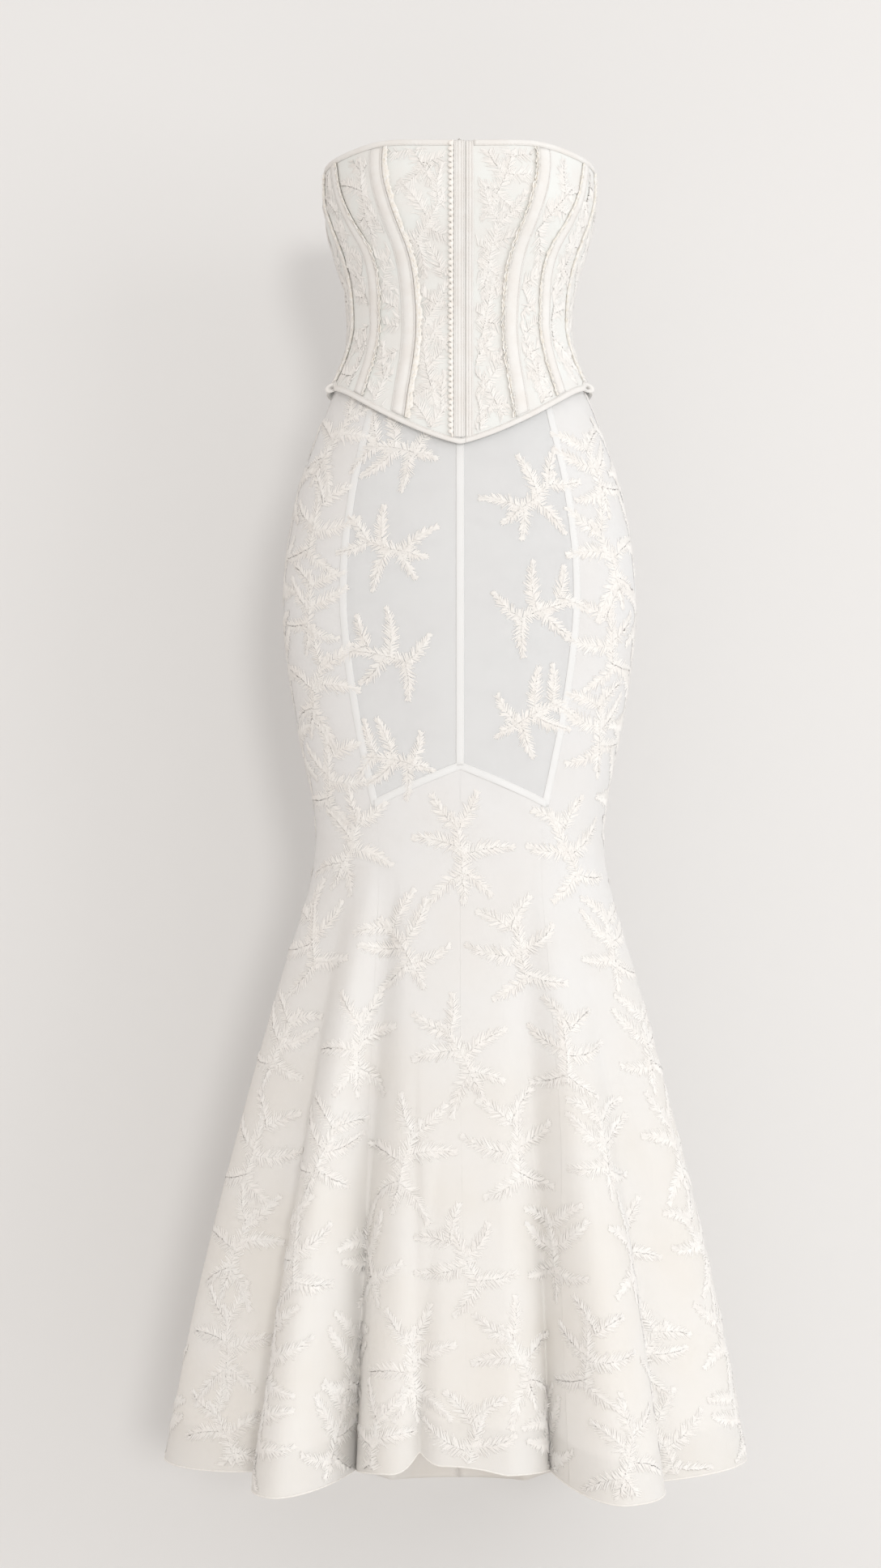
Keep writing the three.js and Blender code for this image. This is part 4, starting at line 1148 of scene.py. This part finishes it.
def hem_path(share, across):
    angle = lerp(-180.0, 180.0, share)
    return angle, hem_line(angle) + across


def hem_top(angle):
    return hem_line(angle) + HEM_DEPTH


hems = {}
for gore, (first, last, _, _, columns, _) in GORES.items():
    if gore == "front":
        continue
    for side, sign in SIDES.items():
        place = gore_place(first, last, sign, hem_top, hem_line, HEM_INSIDE)
        turn_up = bent_grid(f"hem_{gore}_{side}", columns, 10, place)
        hems[gore, side] = dress(thicken(turn_up, HEM_WALL), seam_voile, "voile")
hem_roll = dress(band("hem_roll", 1400, skirt_point, hem_path, HEM_ROLL), stitch_thread, "voile")
print("hems:", len(hems))

# %% [markdown]
# The embroidery is sprays of leafy fronds in clipped thread, drawn here as a general fern-like branch: a
# stem with side fronds by turns. A frond is a curved rib with threads on both sides. Their lengths swell
# and shrink along the rib in lobes, so the frond has a full body and a notched edge, and it ends in a
# small fan. Each thread is a tiny tapered ridge of the same small grid. A spray is laid flat first and
# then walked onto the cloth by its true distances, so it follows the folds.

# %% Leaf sprays laid flat
BARB, BARB_FACES = small_shape(bmesh.ops.create_grid, x_segments=2, y_segments=1, size=0.5)
THREAD_PITCH = 1.5              # millimetres along a rib from one thread to the next
LOBE_PITCH = 8.5
FAN_THREADS, FAN_SPREAD, FAN_REACH = 9, 32, (5.5, 8.5)
THREAD_WIDTHS = (1.5, 2.1)
THREAD_FOOT, THREAD_RISE, THREAD_END = 0.1, 1.3, 0.5    # millimetres out of the cloth, from root to tip
THREAD_TAPER = 0.4
# Each frond: the distance up the stem at which it starts, its heading, length, bend and reach to each side.
FRONDS = (
    table("up heading length bend reach",
          (-30, 86, 66, 24, 11), (-26, -70, 20, -30, 9), (2, 22, 48, 26, 11), (-2, 158, 46, -22, 11),
          (24, 46, 38, -24, 10), (22, 142, 40, 26, 10), (-22, -18, 38, 24, 10), (-18, 202, 40, -20, 10)),
    table("up heading length bend reach",
          (-28, 98, 64, -26, 11), (-24, -106, 24, 24, 9), (-4, 160, 50, 24, 11), (4, 28, 44, -24, 11),
          (26, 130, 36, -20, 10), (24, 40, 40, 24, 10), (-20, 206, 34, 26, 10), (-22, -30, 44, -22, 10)),
    table("up heading length bend reach",
          (-34, 92, 72, 14, 11), (-4, 8, 52, 30, 11), (0, 174, 44, -30, 11), (22, 58, 36, -26, 10),
          (26, 126, 36, 24, 10), (-26, -34, 38, 26, 10), (-24, 214, 42, -20, 10)),
)


def headed(heading):
    return np.stack([np.cos(heading), np.sin(heading)], -1)


def spray(fronds):
    """Roots and tips of the threads of one spray, laid flat in millimetres."""
    roots, tips = [], []
    for up, heading, length, bend, reach in zip(*fronds.values()):
        run = np.arange(0, length, THREAD_PITCH)
        far = run / length
        turned = np.radians(heading + bend * far)
        rib = (0, up) + np.cumsum(headed(turned) * THREAD_PITCH, axis=0)
        for side in (-1, 1):
            lobe = 0.62 + 0.5 * np.abs(np.sin(np.pi * (run / LOBE_PITCH + 0.25 * side)))
            size = reach * lobe * (0.9 + 0.75 * far - 1.15 * far**2) * rng.uniform(0.85, 1.15, len(run))
            aim = turned + side * np.radians(lerp(66, 26, far)) + rng.normal(0, 0.08, len(run))
            root = rib + rng.normal(0, 0.4, rib.shape)
            roots.append(root)
            tips.append(root + headed(aim) * size[:, None])
        fan = turned[-1] + np.radians(np.linspace(-FAN_SPREAD, FAN_SPREAD, FAN_THREADS))
        roots.append(np.repeat(rib[-1:], FAN_THREADS, axis=0))
        tips.append(rib[-1] + headed(fan) * rng.uniform(*FAN_REACH, FAN_THREADS)[:, None])
    return np.concatenate(roots), np.concatenate(tips)


SPRAYS = [spray(fronds) for fronds in FRONDS]
print("threads in a spray:", [len(roots) for roots, _ in SPRAYS])


def lay_spray(surface, arcs, middle, z, turn, size, mirror, kind, keep):
    """One spray on the cloth, as its threads' vertices. keep(angle, z) says which threads stay."""
    roots, tips = (part * size * (mirror, 1) for part in SPRAYS[kind])
    spin = np.array([[np.cos(turn), np.sin(turn)], [-np.sin(turn), np.cos(turn)]])
    roots, tips = roots @ spin, tips @ spin
    ahead = tips - roots
    widths = rng.uniform(*THREAD_WIDTHS, len(roots))
    side = unit(np.stack([ahead[:, 1], -ahead[:, 0]], -1)) * widths[:, None]
    share = BARB[:, 1] + 0.5
    taper = lerp(1.0, THREAD_TAPER, share)
    ridge = lerp(THREAD_RISE, THREAD_END, share) * (1 - 0.85 * np.abs(BARB[:, 0]) * 2)
    flat = roots[:, None] + ahead[:, None] * share[:, None] + side[:, None] * (BARB[:, 0] * taper)[:, None]
    height = THREAD_FOOT + ridge * rng.uniform(0.6, 1.4, len(roots))[:, None]
    levels = z + flat[..., 1].ravel()
    angles = walk_round(arcs, levels, middle, flat[..., 0].ravel())
    tip = slice(len(BARB) - 2, None, len(BARB))
    root = slice(1, None, len(BARB))
    stays = keep(angles[tip], levels[tip]) & keep(angles[root], levels[root])
    points = lifted(surface, angles, levels, height.ravel()).reshape(len(roots), len(BARB), 3)
    return points[stays]


# %% [markdown]
# On the skirt the sprays stand in upright columns down to the knee, and in level rows round the flare, as
# a bought embroidered cloth repeats. The threads that would lie far under the corset or run past the hem
# are left out.

# %% Embroidery on the skirt
UNDER_CORSET, CLEAR_OF_HEM = 14, 4
FRONT_SPRAY = 0.88              # the sprays of the sheer front gores are smaller
COLUMNS = table(
    "angle top count pitch turn mirror",
    (-23, -138, 4, 106, 70, 1), (24.5, -192, 3, 108, -62, -1), (-55, -128, 5, 86, -16, 1),
    (56, -160, 4, 88, 14, -1), (-90, -172, 4, 88, 10, -1), (91, -130, 5, 86, -12, 1),
    (-125, -130, 5, 86, 6, 1), (126, -172, 4, 88, -8, -1), (-160, -172, 4, 88, 12, -1),
    (161, -130, 5, 86, -10, 1),
)
FLARE_ROWS = (-545, -648, -751, -854, -957, -1060, -1142)
ROW_PITCH = 112


def skirt_keeps(angle, z):
    return (z < lower_edge(angle) + UNDER_CORSET) & (z > hem_line(angle) + CLEAR_OF_HEM)


placed = []
for i, middle in enumerate(COLUMNS["angle"]):
    for row in range(int(COLUMNS["count"][i])):
        z = COLUMNS["top"][i] - row * COLUMNS["pitch"][i] + rng.uniform(-4, 4)
        placed.append((middle, z, np.radians(COLUMNS["turn"][i] + rng.uniform(-8, 8)), COLUMNS["mirror"][i]))
for row, z in enumerate(FLARE_ROWS):
    lengths = SKIRT_ARCS["lengths"][int(-z / SKIRT_ARCS["step"])]
    start, end = np.interp((0, 180), ROUND, lengths)
    count = int(round(2 * (end - start) / ROW_PITCH))
    for k in range(count):
        distance = wrapped((k + 0.5 * (row % 2)) * 360 / count) / 180 * (end - start)
        middle = walk_round(SKIRT_ARCS, np.array([float(z)]), 0.0, distance)[0]
        placed.append((middle, z + rng.uniform(-9, 9), rng.uniform(-0.6, 0.6), 1 if k % 2 else -1))


def gore_under(angle, z):
    """The gore, and its side, that lies under a point of the skirt."""
    size = abs(wrapped(angle))
    side = "left" if wrapped(angle) < 0 else "right"
    if size < seam_angle(SKIRT_SEAMS, "princess", z):
        return ("front" if z > knee_seam(angle) else "front_flare"), side
    if size < 90:
        return "side_front", side
    return ("side_back" if size < seam_angle(SKIRT_SEAMS, "back", z) else "back"), side


parts = {}
for number, (middle, z, turn, mirror) in enumerate(placed):
    under = gore_under(middle, z)
    size = rng.uniform(0.92, 1.04) * (FRONT_SPRAY if under[0] == "front" else 1)
    kind = number % len(SPRAYS)
    part = lay_spray(skirt_point, SKIRT_ARCS, middle, z, turn, size, mirror, kind, skirt_keeps)
    parts.setdefault(under, []).append(part)
skirt_leaves = {}
for (gore, side), part in sorted(parts.items()):
    leaves = joined_copies(f"skirt_leaves_{gore}_{side}", BARB_FACES, np.concatenate(part))
    skirt_leaves[gore, side] = dress(leaves, leaf_thread, "voile")
print("sprays on the skirt:", len(placed), "threads:", sum(len(p) for part in parts.values() for p in part))

# %% [markdown]
# The corset's panels are cut from the same embroidered cloth, so sprays run off their edges at every
# seam. A thread stays only if its root and its tip lie on its own panel, clear of the casing.

# %% Embroidery on the corset
CLEAR_OF_TAPE, CLEAR_OF_RAW_EDGE, CLEAR_OF_BINDING = 1, 2.2, 7
PICOT_WIDTH = 3
FIRST_SPRAY, SPRAY_STEP = 156, 70       # the height of a panel's first spray, and the drop to the next
PANEL_DROP, SIDE_DROP = 34, 20          # how much lower every second panel's and the right side's stand
CORSET_SPRAY = 0.96


def panel_keeps(first, last, sign):
    """The threads on one panel, clear of the tape along its first seam and of the bound edges."""
    front_tape = 1 + (BAND_RIGHT if sign > 0 else PICOT_WIDTH - FLY_LEFT)
    tape = CASINGS.get(first, front_tape) + CLEAR_OF_TAPE

    def keep(angle, z):
        size = np.abs(wrapped(angle))
        degrees = degrees_per_mm(corset_point, angle, z)
        past_first = size > seam_angle(CORSET_SEAMS, first, z) + tape * degrees
        before_last = size < seam_angle(CORSET_SEAMS, last, z) - CLEAR_OF_RAW_EDGE * degrees
        between = (z < top_edge(angle) - CLEAR_OF_BINDING) & (z > lower_edge(angle) + CLEAR_OF_BINDING)
        return past_first & before_last & between & (wrapped(angle) * sign > 0)

    return keep


corset_leaves = {}
for number, (panel, (first, last)) in enumerate(CORSET_PANELS.items()):
    for side, sign in SIDES.items():
        parts = []
        keep = panel_keeps(first, last, sign)
        first_z = FIRST_SPRAY - (number % 2) * PANEL_DROP - (sign > 0) * SIDE_DROP
        for row in range(5):
            z = first_z - row * SPRAY_STEP + rng.uniform(-6, 6)
            low, high = seam_angle(CORSET_SEAMS, first, z), seam_angle(CORSET_SEAMS, last, z)
            middle = sign * lerp(low, high, rng.uniform(0.35, 0.75))
            turn = rng.uniform(-0.7, 0.7)
            kind = (number + row) % len(SPRAYS)
            part = lay_spray(corset_point, CORSET_ARCS, middle, z, turn, CORSET_SPRAY, sign, kind, keep)
            parts.append(part)
        leaves = joined_copies(f"corset_leaves_{panel}_{side}", BARB_FACES, np.concatenate(parts))
        corset_leaves[panel, side] = dress(leaves, leaf_thread, "corset_cloth")
print("corset panels with leaves:", len(corset_leaves))

# %% [markdown]
# The cut of every panel and gore is printed: its widest and its longest measure and its area, as it lies
# flat. The seams, tapes, hems and leaves that go with each are gathered beside it. The printed table is the
# cut.

# %% Sheets and their cuts
def state_cut(piece):
    width, length, area = piece["cut"]
    area = min(area, width * length)
    print(f"cut of {piece.name}: {width * 1000:.0f} by {length * 1000:.0f} mm, {area:.4f} square metres")


for (panel, side), piece in corset.items():
    seam = CORSET_PANELS[panel][0]
    goes_with = [corset_leaves[panel, side], *casings.get((seam, side), [])]
    if panel == "front":
        goes_with += [*edges[f"top_edge_{side}"], *edges[f"basque_edge_front_{side}"]]
        left_tapes = [picot, beads, fly, *front_lines[:len(FLY_GROOVES)]]
        right_tapes = [under_band, *front_lines[len(FLY_GROOVES):]]
        goes_with += left_tapes if side == "left" else right_tapes
    if panel == "back":
        goes_with += edges[f"basque_edge_back_{side}"]
        goes_with += [back_casing] if side == "left" else []
    state_cut(piece)
for (gore, side), piece in gores.items():
    goes_with = [made[gore, side] for made in (hems, skirt_leaves) if (gore, side) in made]
    first = GORES[gore][0]
    if first not in ("centreFront", "centreBack"):
        goes_with += seams[f"{first}_{side}"]
    if gore == "front":
        goes_with += seams["centre_front"] + seams["knee"] if side == "left" else []
    if gore == "back":
        goes_with += seams["centre_back"] + [hem_roll] if side == "left" else []
    state_cut(piece)

# %% [markdown]
# The last cell prints the box round every shown piece, and counts the triangles.
# Light has to pass many layers of thin voile, so more of them are let through.

# %% Sizes and triangle counts
scene.cycles.transparent_max_bounces = 32
low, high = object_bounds()
print("visual box:", [round(v, 4) for v in (*low, *high)])
graph = bpy.context.evaluated_depsgraph_get()
triangles = {piece.name: len(piece.evaluated_get(graph).data.loop_triangles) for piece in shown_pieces()
             if piece.type == "MESH"}
print("triangles:", sum(triangles.values()), "largest:", sorted(triangles.items(), key=lambda t: -t[1])[:6])
